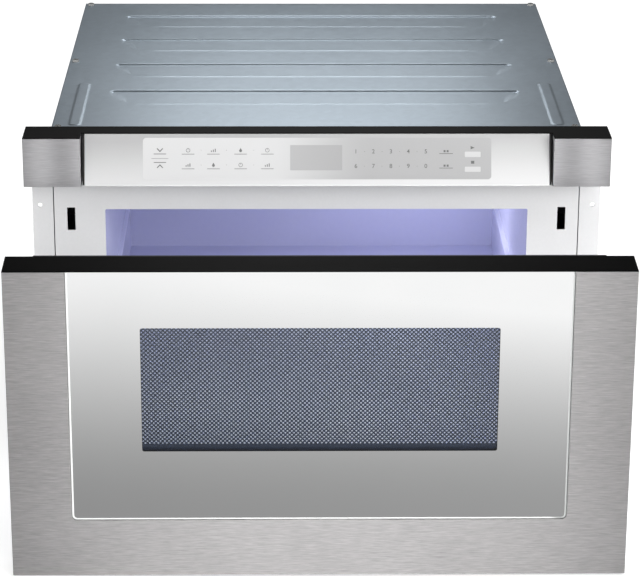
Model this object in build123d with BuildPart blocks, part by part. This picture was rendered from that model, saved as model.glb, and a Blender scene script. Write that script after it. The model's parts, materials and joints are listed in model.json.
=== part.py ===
"""Built-in microwave drawer, 24 inch class, with the drawer part-way out.

Millimetres, +Z up, the drawer opens towards -Y. The origin is the middle of the
case's underside. Depths written with behind(d) count back from the plane of the
face frame, and depths written with drawn(d) count the same way on the drawer,
which stands at its opening for the photograph.
"""

from build123d import *
import os
from math import acos, atan2, cos, pi, radians, sin, sqrt, tan

os.makedirs("parts", exist_ok=True)

# ---------------------------------------------------------------- driving sizes
# Heights, from the underside up
underfloor_height = 92.5
cavity_height = 197.4
lintel_height = 38.0
control_height = 53.0
top_drop = 7.1
door_ground_gap = 2.0
front_gap = 6.3

# Widths
cavity_width = 445.4
side_bay = 55.65
front_overhang = 24.9
flange_width = 20.5

# Depths, from the face frame back
cavity_depth = 447.3
rear_bay = 104.7
control_depth = 42.0
door_seat_gap = 0.4
travel = 380.0
rest_opening = 239.3

# Sheet and plate thicknesses
sheet = 1.2
thin_sheet = 1.0
trim_thickness = 1.2
glass_thickness = 4.0
wall = 2.0

# Fits
slip = 0.3
running_fit = 0.05

# ---------------------------------------------------------------- derived sizes
floor_z = underfloor_height
ceiling_z = floor_z + cavity_height
control_bottom = ceiling_z + lintel_height
control_top = control_bottom + control_height
case_top = control_top - top_drop
lid_seat = case_top - thin_sheet
door_bottom = door_ground_gap
door_top = control_bottom - front_gap

half_cavity = cavity_width / 2
half_body = half_cavity + side_bay
half_inside = half_body - sheet
half_front = half_body + front_overhang
case_depth = cavity_depth + rear_bay
rear_middle = cavity_depth + rear_bay / 2
face_y = -case_depth / 2


def behind(depth):
    """Y of a place this far behind the plane of the face frame."""
    return face_y + depth


def drawn(depth):
    """The same on the drawer, at the opening that it rests at."""
    return behind(depth) - rest_opening


def block(x_span, y_span, z_span, mode=Mode.ADD):
    """A square-cornered block between pairs of coordinates."""
    spans = (x_span, y_span, z_span)
    with Locations(tuple((low + high) / 2 for low, high in spans)):
        Box(*(high - low for low, high in spans), mode=mode)


def rod(start, length, radius, direction, mode=Mode.ADD):
    """A round bar or bore from a point, along a direction."""
    with BuildSketch(Plane(origin=start, z_dir=direction)) as section:
        Circle(radius)
    extrude(section.sketch, amount=length, mode=mode)


def side_section(points, x_span, mode=Mode.ADD):
    """A profile of (Y, Z) points, run across between two X values."""
    with BuildSketch(Plane.YZ.offset(x_span[0])) as section:
        with BuildLine():
            Polyline(*points, close=True)
        make_face()
    extrude(section.sketch, amount=x_span[1] - x_span[0], mode=mode)


def front_panel(width, z_span, y_span, corner=0.0, centre_x=0.0, mode=Mode.ADD):
    """An upright panel seen from the front, with rounded corners if asked."""
    height = z_span[1] - z_span[0]
    middle = (centre_x, (z_span[0] + z_span[1]) / 2)
    with BuildSketch(Plane.XZ.offset(-y_span[1])) as outline:
        with Locations(middle):
            if corner > 0:
                RectangleRounded(width, height, corner)
            else:
                Rectangle(width, height)
    extrude(outline.sketch, amount=y_span[1] - y_span[0], mode=mode)


def sided(sign, near, far):
    """An X span on the left (sign -1) or right (sign 1) of the middle."""
    return tuple(sorted((sign * near, sign * far)))


def save(piece, node):
    piece.part.label = node
    export_step(piece.part, f"parts/{node}.step")


SIDES = (("left", -1), ("right", 1))

# ---------------------------------------------------------------- case
# Floor pan: one sheet with its four edges turned up, and air slots at the back.
lip_height = 12.0
corner_relief = 14.0
air_slot_length = 40.0
air_slot_width = 4.0

with BuildPart() as base_pan:
    block((-half_inside, half_inside), (behind(sheet), behind(case_depth - sheet)), (0, sheet))
    for lip_y in (behind(sheet), behind(case_depth - 2 * sheet)):
        block(
            (-half_inside + corner_relief, half_inside - corner_relief),
            (lip_y, lip_y + sheet),
            (sheet, lip_height),
        )
    for _, sign in SIDES:
        block(
            sided(sign, half_inside - sheet, half_inside),
            (behind(corner_relief), behind(case_depth - corner_relief)),
            (sheet, lip_height),
        )
    with BuildSketch(Plane.XY):
        with Locations((0, behind(rear_middle))):
            with GridLocations(2.2 * air_slot_length, 3 * air_slot_width, 2, 4):
                SlotOverall(air_slot_length, air_slot_width)
    extrude(amount=sheet, mode=Mode.SUBTRACT)
save(base_pan, "base_pan")

# Side panels: a web with a mounting flange turned out at the front, a seat for the
# top panel turned in along the top, and a tab turned in at the back.
flange_hole_radius = 2.4
flange_hole_inset = 12.65
flange_foot = 8.0
flange_hole_drop = 33.3
flange_hole_low = 60.0
seat_width = 15.0
screw_inset = 6.85
screw_first = 19.0
screw_pitch = 262.5
screw_radius = 1.9
screw_slack = 0.1
rear_screw_heights = (lip_height + 20.0, case_top / 2, case_top - 30.0)
screw_rows = tuple(screw_first + screw_pitch * row for row in range(3))
flange_hole_x = half_body + flange_hole_inset
flange_hole_zs = (flange_hole_low, control_bottom - flange_hole_drop)
vent_pitch = 12.0
vent_rows = 9

for side, sign in SIDES:
    with BuildPart() as side_panel:
        block(sided(sign, half_inside, half_body), (behind(0), behind(case_depth)), (0, lid_seat))
        block(
            sided(sign, half_body, half_body + flange_width),
            (behind(0), behind(sheet)),
            (flange_foot, lid_seat),
        )
        block(
            sided(sign, half_inside - seat_width, half_inside),
            (behind(2 * sheet), behind(case_depth - 2 * sheet)),
            (lid_seat - sheet, lid_seat),
        )
        block(
            sided(sign, half_inside - lip_height, half_inside),
            (behind(case_depth - 2 * sheet), behind(case_depth - sheet)),
            (corner_relief, lid_seat),
        )
        for hole_z in flange_hole_zs:
            hole = (sign * flange_hole_x, behind(0), hole_z)
            rod(hole, sheet, flange_hole_radius, (0, 1, 0), Mode.SUBTRACT)
        for row in screw_rows:
            hole = (sign * (half_body - screw_inset), behind(row), lid_seat - sheet)
            rod(hole, sheet, screw_radius + screw_slack, (0, 0, 1), Mode.SUBTRACT)
        for screw_z in rear_screw_heights:
            hole = (sign * (half_body - screw_inset), behind(case_depth - 2 * sheet), screw_z)
            rod(hole, sheet, screw_radius + screw_slack, (0, 1, 0), Mode.SUBTRACT)
        with BuildSketch(Plane.YZ.offset(min(sign * half_inside, sign * half_body))):
            with Locations((behind(rear_middle), case_top / 2)):
                with GridLocations(vent_pitch, vent_pitch, 1, vent_rows):
                    SlotOverall(air_slot_length, air_slot_width)
        extrude(amount=sheet, mode=Mode.SUBTRACT)
    save(side_panel, f"{side}_side_panel")

# Back panel, with the fan's intake slots, outlet slots and the hole for the cord gland.
gland_hole_radius = 8.0
gland_x = half_inside - 40.0
gland_z = 60.0
intake_x = -120.0
intake_z = ceiling_z - 35.0
outlet_x = 100.0

with BuildPart() as rear_panel:
    block((-half_inside, half_inside), (behind(case_depth - sheet), behind(case_depth)), (0, lid_seat))
    with BuildSketch(Plane.XZ.offset(-behind(case_depth))):
        for slots_x in (intake_x, outlet_x):
            with Locations((slots_x, intake_z)):
                with GridLocations(1.1 * air_slot_length, 2 * air_slot_width, 2, 8):
                    SlotOverall(air_slot_length, air_slot_width)
        with Locations((gland_x, gland_z)):
            Circle(gland_hole_radius)
        for _, sign in SIDES:
            for screw_z in rear_screw_heights:
                with Locations((sign * (half_body - screw_inset), screw_z)):
                    Circle(screw_radius + screw_slack)
    extrude(amount=sheet, mode=Mode.SUBTRACT)
save(rear_panel, "rear_panel")

# Top panel: galvanised sheet stiffened by four wide ribs pressed down and two raised side beads.
rib_drop = 1.2
bead_rise = 0.6
rib_back_width = 456.0
rib_front_width = 410.0
rib_depth = 50.0
rib_pitch = 110.0
rib_first = 110.5
rib_corner = 9.0
bead_inset = 23.5
bead_width = 14.0
bead_span = (26.0, 190.0)

with BuildPart() as top_panel:
    block((-half_body, half_body), (behind(2 * sheet), behind(case_depth)), (lid_seat, case_top))
    for rib in range(4):
        rib_y = behind(rib_first + rib * rib_pitch)
        for level, mode in ((lid_seat, Mode.ADD), (case_top, Mode.SUBTRACT)):
            margin = -thin_sheet if mode == Mode.ADD else 0
            with BuildSketch(Plane.XY.offset(level)) as rib_outline:
                with BuildLine():
                    Polyline(
                        (-rib_front_width / 2 + margin, rib_y + margin),
                        (rib_front_width / 2 - margin, rib_y + margin),
                        (rib_back_width / 2 - margin, rib_y + rib_depth - margin),
                        (-rib_back_width / 2 + margin, rib_y + rib_depth - margin),
                        close=True,
                    )
                make_face()
                fillet(rib_outline.vertices(), rib_corner - margin)
            extrude(rib_outline.sketch, amount=-rib_drop, mode=mode)
    for _, sign in SIDES:
        bead_x = half_body - bead_inset
        bead = sided(sign, bead_x - bead_width / 2, bead_x + bead_width / 2)
        block(bead, (behind(bead_span[0]), behind(bead_span[1])), (case_top, case_top + bead_rise))
        for row in screw_rows:
            hole = (sign * (half_body - screw_inset), behind(row), lid_seat)
            rod(hole, thin_sheet, screw_radius + screw_slack, (0, 0, 1), Mode.SUBTRACT)
save(top_panel, "top_panel")

# Case screws: pan heads with a cross recess, six down into the sides and six into the back.
screw_head_radius = 4.2
screw_head_height = 2.4
screw_shank = 6.0
recess_width = 1.0
recess_length = 4.6
recess_depth = 1.3

with BuildPart() as case_screws:
    for _, sign in SIDES:
        screw_x = sign * (half_body - screw_inset)
        places = [((screw_x, behind(row), case_top), (0, 0, 1)) for row in screw_rows]
        places += [((screw_x, behind(case_depth), z), (0, 1, 0)) for z in rear_screw_heights]
        for seat, outward in places:
            head = Plane(origin=seat, z_dir=outward)
            with BuildSketch(head.offset(-screw_shank)) as shank:
                Circle(screw_radius)
            extrude(shank.sketch, amount=screw_shank)
            with BuildSketch(head) as pan:
                Circle(screw_head_radius)
            extrude(pan.sketch, amount=screw_head_height, taper=18)
            with BuildSketch(head.offset(screw_head_height)) as cross:
                Rectangle(recess_length, recess_width)
                Rectangle(recess_width, recess_length)
            extrude(cross.sketch, amount=-recess_depth, mode=Mode.SUBTRACT)
save(case_screws, "case_screws")

# Cord gland: a flanged bush through the back panel, with the bore for the supply cord.
gland_bore = 4.5
gland_flange_radius = 12.0
gland_flange = 2.5
gland_length = 16.0

with BuildPart() as cord_gland:
    gland_end = (gland_x, behind(case_depth + gland_flange), gland_z)
    rod((gland_x, behind(case_depth), gland_z), gland_flange, gland_flange_radius, (0, 1, 0))
    rod(gland_end, gland_length, gland_hole_radius - running_fit, (0, -1, 0))
    rod(gland_end, gland_length, gland_bore, (0, -1, 0), Mode.SUBTRACT)
    chamfer(cord_gland.edges().filter_by(GeomType.CIRCLE).sort_by(SortBy.RADIUS)[-1:], 0.8)
save(cord_gland, "cord_gland")

# ---------------------------------------------------------------- slides and drive places
slide_z = 40.0
slide_height = 42.0
slide_thickness = 12.7
slide_length = 450.0
slide_start = 12.0
slide_inset = 26.35
bracket_sheet = 1.6
slide_back_x = half_body - slide_inset
slide_window = (slide_back_x - slide_thickness - 3.5, slide_back_x + 4.0)
window_clearance = 3.0

rack_module = 2.0
rack_width = 10.0
rack_pitch_z = 46.0
rack_back_z = 58.0
pinion_teeth = 18
pinion_depth = 35.0
mesh_clearance = 0.25
pinion_radius = rack_module * pinion_teeth / 2
pinion_z = rack_pitch_z - pinion_radius - mesh_clearance
rack_window = rack_width / 2 + 6.0

latch_x = half_body - 19.85
latch_slot_width = 8.6
latch_slot_height = 25.2
latch_slot_top = ceiling_z + 2.0
latch_slot_span = (latch_slot_top - latch_slot_height, latch_slot_top)

# ---------------------------------------------------------------- face frame and oven cavity
# Face frame: the painted sheet that closes the case's front round the oven opening.
opening_corner = 1.5

with BuildPart() as face_frame:
    front_panel(2 * half_inside, (0, lid_seat), (behind(0), behind(sheet)))
    front_panel(
        cavity_width,
        (floor_z, ceiling_z),
        (behind(0), behind(sheet)),
        opening_corner,
        mode=Mode.SUBTRACT,
    )
    for _, sign in SIDES:
        front_panel(
            latch_slot_width,
            latch_slot_span,
            (behind(0), behind(sheet)),
            corner=0.8,
            centre_x=sign * latch_x,
            mode=Mode.SUBTRACT,
        )
        block(
            sided(sign, *slide_window),
            (behind(0), behind(sheet)),
            (slide_z - slide_height / 2 - window_clearance, slide_z + slide_height / 2 + window_clearance),
            Mode.SUBTRACT,
        )
        block(
            sided(sign, half_inside - sheet, half_inside),
            (behind(sheet), behind(lip_height)),
            (corner_relief, lid_seat - 2 * sheet),
        )
    block(
        (-rack_window, rack_window),
        (behind(0), behind(sheet)),
        (rack_pitch_z - rack_module - window_clearance, rack_back_z + window_clearance),
        Mode.SUBTRACT,
    )
save(face_frame, "face_frame")

# Oven cavity: a welded five-sided box with a depth-wise ledge pressed into each side.
waveguide_mouth = 64.0
stirrer_depth = 224.0
ledge_z = floor_z + 71.5
ledge_height = 6.0
ledge_depth = 4.0
lamp_depth = 300.0
lamp_z = floor_z + 160.0
lamp_hole_radius = 13.0

with BuildPart() as oven_cavity:
    cavity_outside = half_cavity + thin_sheet
    block(
        (-cavity_outside, cavity_outside),
        (behind(sheet), behind(cavity_depth + thin_sheet)),
        (floor_z - thin_sheet, ceiling_z + thin_sheet),
    )
    block(
        (-half_cavity, half_cavity),
        (behind(sheet), behind(cavity_depth)),
        (floor_z, ceiling_z),
        Mode.SUBTRACT,
    )
    for _, sign in SIDES:
        with BuildSketch(Plane.XZ.offset(-behind(cavity_depth))) as ledge:
            with BuildLine():
                Polyline(
                    (sign * half_cavity, ledge_z - ledge_height / 2 - ledge_depth),
                    (sign * (half_cavity - ledge_depth), ledge_z - ledge_height / 2),
                    (sign * (half_cavity - ledge_depth), ledge_z + ledge_height / 2),
                    (sign * half_cavity, ledge_z + ledge_height / 2 + ledge_depth),
                    close=True,
                )
            make_face()
        extrude(ledge.sketch, amount=cavity_depth - lip_height)
    block(
        (-waveguide_mouth / 2, waveguide_mouth / 2),
        (behind(stirrer_depth - waveguide_mouth / 2), behind(stirrer_depth + waveguide_mouth / 2)),
        (ceiling_z, ceiling_z + thin_sheet),
        Mode.SUBTRACT,
    )
    lamp_hole = (half_cavity, behind(lamp_depth), lamp_z)
    rod(lamp_hole, thin_sheet, lamp_hole_radius, (1, 0, 0), Mode.SUBTRACT)
save(oven_cavity, "oven_cavity")

# Stirrer cover: a shallow tray of microwave-clear plastic under the ceiling.
cover_half = 98.0
cover_drop = 18.0
cover_wall = 1.5
cover_corner = 12.0

with BuildPart() as stirrer_cover:
    block(
        (-cover_half, cover_half),
        (behind(stirrer_depth - cover_half), behind(stirrer_depth + cover_half)),
        (ceiling_z - cover_drop, ceiling_z),
    )
    fillet(stirrer_cover.edges().filter_by(Axis.Z), cover_corner)
    open_face = stirrer_cover.faces().sort_by(Axis.Z)[-1]
    offset(amount=-cover_wall, openings=open_face, kind=Kind.INTERSECTION)
save(stirrer_cover, "stirrer_cover")

# Waveguide: a flat steel duct on the cavity, from the magnetron's aerial to the stirrer.
guide_half = 42.0
guide_height = 40.0
guide_span = (stirrer_depth - 40.0, case_depth - 10.0)
magnetron_depth = cavity_depth + 52.0
aerial_hole = 17.0
spindle_radius = 4.0
spindle_hole = 6.0
guide_bottom = ceiling_z + thin_sheet
guide_top = guide_bottom + guide_height

with BuildPart() as waveguide:
    block(
        (-guide_half, guide_half),
        (behind(guide_span[0]), behind(guide_span[1])),
        (guide_bottom, guide_top),
    )
    block(
        (-guide_half + thin_sheet, guide_half - thin_sheet),
        (behind(guide_span[0] + thin_sheet), behind(guide_span[1] - thin_sheet)),
        (guide_bottom + thin_sheet, guide_top - thin_sheet),
        Mode.SUBTRACT,
    )
    block(
        (-waveguide_mouth / 2, waveguide_mouth / 2),
        (behind(stirrer_depth - waveguide_mouth / 2), behind(stirrer_depth + waveguide_mouth / 2)),
        (guide_bottom, guide_bottom + thin_sheet),
        Mode.SUBTRACT,
    )
    aerial_mouth = (0, behind(magnetron_depth), guide_bottom)
    rod(aerial_mouth, thin_sheet, aerial_hole, (0, 0, 1), Mode.SUBTRACT)
    spindle_mouth = (0, behind(stirrer_depth), guide_top - thin_sheet)
    rod(spindle_mouth, thin_sheet, spindle_hole, (0, 0, 1), Mode.SUBTRACT)
save(waveguide, "waveguide")

# Stirrer motor on the waveguide, with a blind bearing that the blade's spindle runs in.
motor_disc_radius = 24.0
motor_disc_height = 16.0
motor_ear_half = 29.0
motor_ear_half_width = 5.0
bearing_radius = 3.0
bearing_depth = 10.0

with BuildPart() as stirrer_motor:
    motor_foot = (0, behind(stirrer_depth), guide_top)
    rod(motor_foot, motor_disc_height, motor_disc_radius, (0, 0, 1))
    block(
        (-motor_ear_half, motor_ear_half),
        (behind(stirrer_depth - motor_ear_half_width), behind(stirrer_depth + motor_ear_half_width)),
        (guide_top, guide_top + sheet),
    )
    rod(motor_foot, bearing_depth, bearing_radius + running_fit, (0, 0, 1), Mode.SUBTRACT)
save(stirrer_motor, "stirrer_motor")

# Stirrer blade: four bent paddles on a plastic spindle, turning inside the cover.
paddle_length = 78.0
paddle_width = 26.0
paddle_sheet = 0.8
paddle_z = ceiling_z - 9.0
paddle_root = 4.0
paddle_slot_length = 30.0
paddle_slot_width = 9.0
paddle_slot_place = 48.0
paddle_hub_radius = 11.0
paddle_hub_height = 8.0
spindle_gap = 1.0

with BuildPart() as stirrer_blade:
    hub_foot = (0, behind(stirrer_depth), paddle_z - paddle_hub_height / 2)
    rod(hub_foot, paddle_hub_height, paddle_hub_radius, (0, 0, 1))
    spindle_length = guide_top - spindle_gap - hub_foot[2]
    rod(hub_foot, spindle_length, spindle_radius, (0, 0, 1))
    rod(hub_foot, spindle_length + bearing_depth - spindle_gap, bearing_radius, (0, 0, 1))
    with BuildSketch(Plane.XY.offset(paddle_z - paddle_sheet / 2)) as paddles:
        with Locations((0, behind(stirrer_depth))):
            with PolarLocations(0, 4):
                with Locations((paddle_length / 2 + paddle_root, 0)):
                    Rectangle(paddle_length, paddle_width)
            with PolarLocations(paddle_slot_place, 4):
                SlotOverall(paddle_slot_length, paddle_slot_width, mode=Mode.SUBTRACT)
    extrude(paddles.sketch, amount=paddle_sheet)
save(stirrer_blade, "stirrer_blade")

# ---------------------------------------------------------------- high-voltage parts behind the cavity
# Magnetron: a yoke with its filter box below, and a finned anode whose aerial stands on top.
yoke_half = 45.0
yoke_half_depth = 38.0
yoke_height = 66.0
yoke_sheet = 1.6
filter_height = 40.0
filter_inset = 6.0
yoke_top = guide_bottom
yoke_bottom = yoke_top - yoke_height

with BuildPart() as magnetron_case:
    yoke_y = (behind(magnetron_depth - yoke_half_depth), behind(magnetron_depth + yoke_half_depth))
    block((-yoke_half, yoke_half), yoke_y, (yoke_bottom, yoke_top))
    block(
        (-yoke_half, yoke_half),
        (yoke_y[0] + yoke_sheet, yoke_y[1] - yoke_sheet),
        (yoke_bottom + yoke_sheet, yoke_top - yoke_sheet),
        Mode.SUBTRACT,
    )
    block(
        (-yoke_half + filter_inset, yoke_half - filter_inset),
        (yoke_y[0] + filter_inset, yoke_y[1] - filter_inset),
        (yoke_bottom - filter_height, yoke_bottom),
    )
    yoke_mouth = (0, behind(magnetron_depth), yoke_top - yoke_sheet)
    rod(yoke_mouth, yoke_sheet, aerial_hole, (0, 0, 1), Mode.SUBTRACT)
save(magnetron_case, "magnetron_case")

anode_radius = 19.0
fin_sheet = 0.8
fin_count = 9
fin_pitch = 6.4
aerial_neck = 14.0
aerial_foot_radius = 9.5
aerial_cap_radius = 7.5
aerial_round = 2.0

with BuildPart() as magnetron_anode:
    rod(
        (0, behind(magnetron_depth), yoke_bottom + yoke_sheet),
        yoke_height - 2 * yoke_sheet,
        anode_radius,
        (0, 0, 1),
    )
    fin_bottom = (yoke_bottom + yoke_top) / 2 - fin_pitch * (fin_count - 1) / 2
    for fin in range(fin_count):
        fin_z = fin_bottom + fin * fin_pitch
        block(
            (-yoke_half + wall, yoke_half - wall),
            (yoke_y[0] + yoke_sheet, yoke_y[1] - yoke_sheet),
            (fin_z - fin_sheet / 2, fin_z + fin_sheet / 2),
        )
    aerial_foot = yoke_top - yoke_sheet
    rod((0, behind(magnetron_depth), aerial_foot), aerial_neck, aerial_foot_radius, (0, 0, 1))
    rod((0, behind(magnetron_depth), aerial_foot), 2 * aerial_neck, aerial_cap_radius, (0, 0, 1))
    fillet(magnetron_anode.edges().sort_by(Axis.Z)[-1:], aerial_round)
save(magnetron_anode, "magnetron_anode")

# Transformer: laminated core on the floor pan, with two windings on its middle leg.
core_x = -185.0
core_width = 92.0
core_height = 74.0
core_stack = 46.0
core_bevel = 3.0
leg_half = 15.0
core_window_width = 14.0
core_window_height = 46.0

with BuildPart() as transformer_core:
    core_y = (behind(rear_middle - core_stack / 2), behind(rear_middle + core_stack / 2))
    block((core_x - core_width / 2, core_x + core_width / 2), core_y, (sheet, sheet + core_height))
    for _, sign in SIDES:
        window = sided(sign, leg_half, leg_half + core_window_width)
        window_foot = sheet + (core_height - core_window_height) / 2
        block(
            (core_x + window[0], core_x + window[1]),
            core_y,
            (window_foot, window_foot + core_window_height),
            Mode.SUBTRACT,
        )
    chamfer(transformer_core.edges().filter_by(Axis.Y).group_by(Axis.Z)[-1], core_bevel)
save(transformer_core, "transformer_core")

coil_gap = 4.0
coil_overhang = 13.0
coil_corner = 9.0
coil_height = (core_window_height - coil_gap - 2 * slip) / 2

with BuildPart() as transformer_windings:
    for level in range(2):
        coil_z = window_foot + slip + level * (coil_height + coil_gap)
        with BuildSketch(Plane.XY.offset(coil_z)) as coil:
            with Locations((core_x, behind(rear_middle))):
                RectangleRounded(
                    2 * (leg_half + core_window_width - slip),
                    core_stack + 2 * coil_overhang,
                    coil_corner,
                )
                Rectangle(2 * leg_half, core_stack, mode=Mode.SUBTRACT)
        extrude(coil.sketch, amount=coil_height)
save(transformer_windings, "transformer_windings")

# Capacitor can with two tab terminals, and the diode on its plate beside it.
can_x = 122.0
can_width = 54.0
can_depth = 34.0
can_top = sheet + 86.0
terminal_pitch = 26.0
terminal_width = 6.0
terminal_height = 10.0
terminal_sheet = 0.8

with BuildPart() as capacitor:
    with BuildSketch(Plane.XY.offset(sheet)):
        with Locations((can_x, behind(rear_middle))):
            SlotOverall(can_width, can_depth)
    extrude(amount=can_top - sheet)
    with Locations((can_x, behind(rear_middle), can_top + terminal_height / 2)):
        with GridLocations(terminal_pitch, terminal_pitch, 2, 1):
            Box(terminal_width, terminal_sheet, terminal_height)
save(capacitor, "capacitor")

diode_x = can_x + 50.0
diode_radius = 4.0
diode_length = 18.0
diode_plate_half = 8.0

with BuildPart() as diode:
    diode_start = behind(rear_middle) - diode_length / 2
    block(
        (diode_x - diode_plate_half, diode_x + diode_plate_half),
        (diode_start, diode_start + diode_length + diode_plate_half),
        (sheet, 2 * sheet),
    )
    diode_z = 2 * sheet + diode_radius - slip
    rod((diode_x, diode_start, diode_z), diode_length, diode_radius, (0, 1, 0))
save(diode, "diode")

# Cooling fan: a duct from the fan to the magnetron, the motor on its spider, and the blade.
fan_z = (yoke_bottom + yoke_top) / 2
duct_half = 45.0
duct_start = -yoke_half - 56.0
duct_notch = 12.0
duct_notch_gap = 1.0
fan_radius = 40.0
fan_gap = 2.5
ring_depth = 22.0
spider_sheet = 3.0
spider_arm_width = 7.0
spider_hub_radius = 15.0
spider_overlap = 8.0
spindle_clearance = 2.0
fan_motor_length = 44.0
fan_motor_half = 23.0
fan_motor_round = 5.0
fan_motor_bearing = 20.0
duct_wall = 2.0

with BuildPart() as fan_duct:
    duct_y = (behind(magnetron_depth) - duct_half, behind(case_depth - sheet))
    duct_z = (fan_z - duct_half, fan_z + duct_half)
    block((duct_start, -yoke_half), duct_y, duct_z)
    block(
        (duct_start + ring_depth, -yoke_half),
        (duct_y[0] + duct_wall, duct_y[1] - duct_wall),
        (duct_z[0] + duct_wall, duct_z[1] - duct_wall),
        Mode.SUBTRACT,
    )
    block(
        (-yoke_half - duct_notch, -yoke_half),
        (duct_y[0], duct_y[1]),
        (guide_bottom - duct_notch_gap, duct_z[1]),
        Mode.SUBTRACT,
    )
    fan_centre_y = behind(magnetron_depth)
    fan_mouth = (duct_start, fan_centre_y, fan_z)
    rod(fan_mouth, ring_depth, fan_radius + fan_gap, (1, 0, 0), Mode.SUBTRACT)
    spider = Plane(origin=fan_mouth, z_dir=(-1, 0, 0))
    with BuildSketch(spider) as arms:
        with PolarLocations(0, 2, start_angle=45, angular_range=180):
            Rectangle(2 * (fan_radius + spider_overlap), spider_arm_width)
        Circle(spider_hub_radius)
        Circle(bearing_radius + spindle_clearance, mode=Mode.SUBTRACT)
    extrude(arms.sketch, amount=spider_sheet)
save(fan_duct, "fan_duct")

with BuildPart() as fan_motor:
    motor_end = duct_start - spider_sheet
    block(
        (motor_end - fan_motor_length, motor_end),
        (fan_centre_y - fan_motor_half, fan_centre_y + fan_motor_half),
        (fan_z - fan_motor_half, fan_z + fan_motor_half),
    )
    fillet(fan_motor.edges().filter_by(Axis.X), fan_motor_round)
    bearing_mouth = (motor_end, fan_centre_y, fan_z)
    rod(bearing_mouth, fan_motor_bearing, bearing_radius + running_fit, (-1, 0, 0), Mode.SUBTRACT)
save(fan_motor, "fan_motor")

fan_hub_radius = 13.0
fan_hub_length = 14.0
fan_hub_gap = 4.0
vane_count = 5
vane_pitch = radians(50)
vane_chord = 14.0
vane_sheet = 1.4
vane_root = 3.0
fan_end_play = 2.0

with BuildPart() as fan_blade:
    hub_start = duct_start + fan_hub_gap
    rod((hub_start, fan_centre_y, fan_z), fan_hub_length, fan_hub_radius, (1, 0, 0))
    spindle_reach = fan_hub_gap + spider_sheet + fan_motor_bearing - fan_end_play
    rod((hub_start, fan_centre_y, fan_z), spindle_reach, bearing_radius, (-1, 0, 0))
    for vane in range(vane_count):
        around = 2 * pi * vane / vane_count
        outward_y, outward_z = cos(around), sin(around)
        spoke = Plane(
            origin=(hub_start + fan_hub_length / 2, fan_centre_y, fan_z),
            x_dir=(cos(vane_pitch), -sin(vane_pitch) * outward_z, sin(vane_pitch) * outward_y),
            z_dir=(0, outward_y, outward_z),
        )
        with BuildSketch(spoke.offset(fan_hub_radius - vane_root)) as root:
            Rectangle(vane_sheet, vane_chord)
        extrude(root.sketch, amount=fan_radius - fan_hub_radius + vane_root)
save(fan_blade, "fan_blade")

# Mains filter board on four posts from the back panel, with its choke ring and two capacitors.
board_x = 205.0
board_z = ceiling_z - 20.0
board_width = 90.0
board_height = 76.0
board_sheet = 1.6
post_inset = 5.0
post_length = 8.0
post_radius = 2.5
choke_ring = (-18.0, 12.0)
choke_ring_depth = 18.0
choke_ring_radius = 15.0
choke_ring_bore = 6.0
large_block = (28.0, 14.0, 30.0)
large_block_place = (22.0, 10.0)
small_block = (38.0, 9.0, 10.0)
small_block_place = (-15.0, -23.0)

with BuildPart() as filter_board:
    board_y = behind(case_depth - sheet - post_length)
    with Locations((board_x, board_y - board_sheet / 2, board_z)):
        Box(board_width, board_sheet, board_height)
    with BuildSketch(Plane.XZ.offset(-board_y)) as posts:
        with Locations((board_x, board_z)):
            with GridLocations(board_width - 2 * post_inset, board_height - 2 * post_inset, 2, 2):
                Circle(post_radius)
    extrude(posts.sketch, amount=-post_length)
    ring_foot = (board_x + choke_ring[0], board_y - board_sheet, board_z + choke_ring[1])
    rod(ring_foot, choke_ring_depth, choke_ring_radius, (0, -1, 0))
    rod(ring_foot, choke_ring_depth, choke_ring_bore, (0, -1, 0), Mode.SUBTRACT)
    for body, place in ((large_block, large_block_place), (small_block, small_block_place)):
        with Locations((board_x + place[0], board_y - board_sheet - body[1] / 2, board_z + place[1])):
            Box(*body)
save(filter_board, "filter_board")

# Oven lamp in its own box on the outside of the cavity's right wall.
lamp_box_half = 20.0
lamp_box_depth = 26.0
lamp_cap_radius = 8.0
lamp_bulb_radius = 8.5
lamp_bulb_reach = 14.0

with BuildPart() as lamp_housing:
    lamp_face = half_cavity + thin_sheet
    lamp_y = (behind(lamp_depth - lamp_box_half), behind(lamp_depth + lamp_box_half))
    lamp_zs = (lamp_z - lamp_box_half, lamp_z + lamp_box_half)
    block((lamp_face, lamp_face + lamp_box_depth), lamp_y, lamp_zs)
    block(
        (lamp_face, lamp_face + lamp_box_depth - sheet),
        (lamp_y[0] + sheet, lamp_y[1] - sheet),
        (lamp_zs[0] + sheet, lamp_zs[1] - sheet),
        Mode.SUBTRACT,
    )
save(lamp_housing, "lamp_housing")

# The lamp is turned in one piece: a straight cap that runs into a round bulb.
with BuildPart() as cavity_lamp:
    lamp_seat = (lamp_face + lamp_box_depth - sheet, behind(lamp_depth), lamp_z)
    lamp_shoulder = lamp_bulb_reach - sqrt(lamp_bulb_radius**2 - lamp_cap_radius**2)
    with BuildSketch(Plane(lamp_seat, x_dir=(-1, 0, 0), z_dir=(0, 1, 0))):
        with BuildLine():
            Polyline((0, 0), (0, lamp_cap_radius), (lamp_shoulder, lamp_cap_radius))
            ThreePointArc(
                (lamp_shoulder, lamp_cap_radius),
                (lamp_bulb_reach, lamp_bulb_radius),
                (lamp_bulb_reach + lamp_bulb_radius, 0),
            )
            Line((lamp_bulb_reach + lamp_bulb_radius, 0), (0, 0))
        make_face()
    revolve(axis=Axis(lamp_seat, (-1, 0, 0)))
save(cavity_lamp, "cavity_lamp")

# ---------------------------------------------------------------- control panel
# Metal end blocks: folded caps at both ends of the control panel.
block_width = 59.4
glass_side_gap = 3.1
block_inner_x = half_front - block_width
glass_half = block_inner_x - glass_side_gap
block_top = control_top - trim_thickness

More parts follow.
